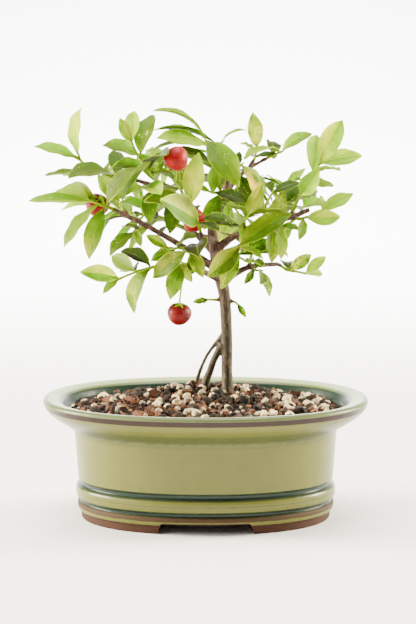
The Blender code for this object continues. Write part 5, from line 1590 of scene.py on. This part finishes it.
class BONSAI_OT_cherries(Operator):
    """Ripens the cherries: soft lobes, a dimple at the stalk and a small scar at the other end"""

    bl_idname = "bonsai.cherries"
    bl_label = "Cherries"

    def execute(self, context):
        settings = context.scene.bonsai_fruit
        skin = make_cherry_skin(settings)
        routes = {spray.name: stem_route(spray) for spray in SPRAYS}
        for name, fruit in FRUITS.items():
            bm = bmesh.new()
            shade_and_ripeness = bm.verts.layers.float.new("shade_and_ripeness")
            sides = settings.sides
            bmesh.ops.create_uvsphere(bm, u_segments=sides, v_segments=sides // 2, radius=1.0)
            for spot in bm.verts:
                height = spot.co.z
                around = math.atan2(spot.co.y, spot.co.x)
                away, rise = fruit_skin(name, fruit["radius"], height, around)
                spot.co = point((math.cos(around) * away, math.sin(around) * away, rise))
                # Painted shade in a groove, the stalk's dimple and the scar, and each fruit's own darkness,
                # partly painted shade
                groove_shade = GROOVE_SHADE * max(0.0, -math.cos(LOBES * around)) ** 3 * (1 - height**2)
                top = STALK_SHADE * math.exp((height - 1) / STALK_DIMPLE_FADE)
                scar = SCAR_SHADE * math.exp((-1 - height) / SCAR_FADE)
                spot[shade_and_ripeness] = groove_shade + top + scar + FRUIT_LOOKS[name][2]
            _, axis = fruit_axis(name, fruit, routes)
            turn = axis.to_track_quat("Z", "Y").to_matrix()
            bmesh.ops.rotate(bm, verts=bm.verts, matrix=turn)
            bmesh.ops.translate(bm, verts=bm.verts, vec=point(fruit["centre"]))
            place_piece(object_from(bm, "ripe_" + name), [name], [skin], sharp=180)
        return {"FINISHED"}


class BONSAI_OT_stage(Operator):
    """Sets up the pale floor and backdrop, the soft lights and the camera"""

    bl_idname = "bonsai.stage"
    bl_label = "Stage"

    def execute(self, context):
        settings = context.scene.bonsai_stage
        bm = bmesh.new()
        bmesh.ops.create_grid(bm, x_segments=1, y_segments=1, size=FLOOR_SIZE)
        far = [edge for edge in bm.edges if all(spot.co.y > 0 for spot in edge.verts)]
        raised = bmesh.ops.extrude_edge_only(bm, edges=far)["geom"]
        top = [spot for spot in raised if isinstance(spot, bmesh.types.BMVert)]
        bmesh.ops.translate(bm, verts=top, vec=(0, 0, BACKDROP_HEIGHT))
        bmesh.ops.bevel(
            bm, geom=far, offset=BACKDROP_BEND, segments=24, profile=0.5, affect="EDGES", material=-1
        )
        floor = object_from(bm, "studio_floor")
        floor.data.materials.append(make_paper(settings))
        floor.data.shade_smooth()
        world = bpy.data.worlds.new("studio")
        world.use_nodes = True
        sky = world.node_tree.nodes["Background"]
        sky.inputs["Color"].default_value = settings.sky
        sky.inputs["Strength"].default_value = SKY_STRENGTH
        context.scene.world = world
        for name, place, aim, size, power, spread, colour in LIGHTS:
            lamp = bpy.data.lights.new(name, "AREA")
            lamp.shape = "DISK"
            lamp.size = size
            lamp.energy = power
            lamp.spread = math.radians(spread)
            lamp.color = hex_colour(colour)[:3]
            light = bpy.data.objects.new(name, lamp)
            light.location = place
            light.rotation_euler = (Vector(aim) - Vector(place)).to_track_quat("-Z", "Y").to_euler()
            context.scene.collection.objects.link(light)
        view = bpy.data.cameras.new("camera")
        view.lens = settings.lens
        view.sensor_width = 36.0
        camera = bpy.data.objects.new("camera", view)
        camera.location = (settings.camera_aside, -settings.camera_distance, settings.camera_height)
        camera.rotation_euler = (math.pi / 2 - settings.camera_dip, 0, 0)
        context.scene.collection.objects.link(camera)
        context.scene.camera = camera
        return {"FINISHED"}


class BONSAI_PT_panel(Panel):
    """Lists the bonsai's pieces with their settings"""

    bl_idname = "BONSAI_PT_panel"
    bl_label = "Barbados cherry bonsai"
    bl_space_type = "VIEW_3D"
    bl_region_type = "UI"
    bl_category = "Bonsai"

    def draw(self, context):
        for operator, holder in PANEL_ROWS:
            box = self.layout.box()
            box.operator(operator.bl_idname)
            settings = getattr(context.scene, holder)
            for name in settings.__annotations__:
                box.prop(settings, name)


SETTINGS = {
    "bonsai_pot": PotSettings,
    "bonsai_soil": SoilSettings,
    "bonsai_net": NetSettings,
    "bonsai_wood": WoodSettings,
    "bonsai_leaf": LeafSettings,
    "bonsai_fruit": FruitSettings,
    "bonsai_stage": StageSettings,
}
PANEL_ROWS = (
    (BONSAI_OT_pot, "bonsai_pot"),
    (BONSAI_OT_soil, "bonsai_soil"),
    (BONSAI_OT_screens, "bonsai_net"),
    (BONSAI_OT_wood, "bonsai_wood"),
    (BONSAI_OT_sprigs, "bonsai_leaf"),
    (BONSAI_OT_cherries, "bonsai_fruit"),
    (BONSAI_OT_stage, "bonsai_stage"),
)
CLASSES = (*SETTINGS.values(), *(operator for operator, _ in PANEL_ROWS), BONSAI_PT_panel)


def register():
    for listed in CLASSES:
        bpy.utils.register_class(listed)
    for name, kind in SETTINGS.items():
        setattr(bpy.types.Scene, name, PointerProperty(type=kind))


def unregister():
    for name in SETTINGS:
        delattr(bpy.types.Scene, name)
    for listed in reversed(CLASSES):
        bpy.utils.unregister_class(listed)


def main():
    register()
    bpy.ops.bonsai.pot()
    bpy.ops.bonsai.soil()
    bpy.ops.bonsai.screens()
    bpy.ops.bonsai.wood()
    bpy.ops.bonsai.sprigs()
    bpy.ops.bonsai.cherries()
    bpy.ops.bonsai.stage()


if __name__ == "__main__":
    main()
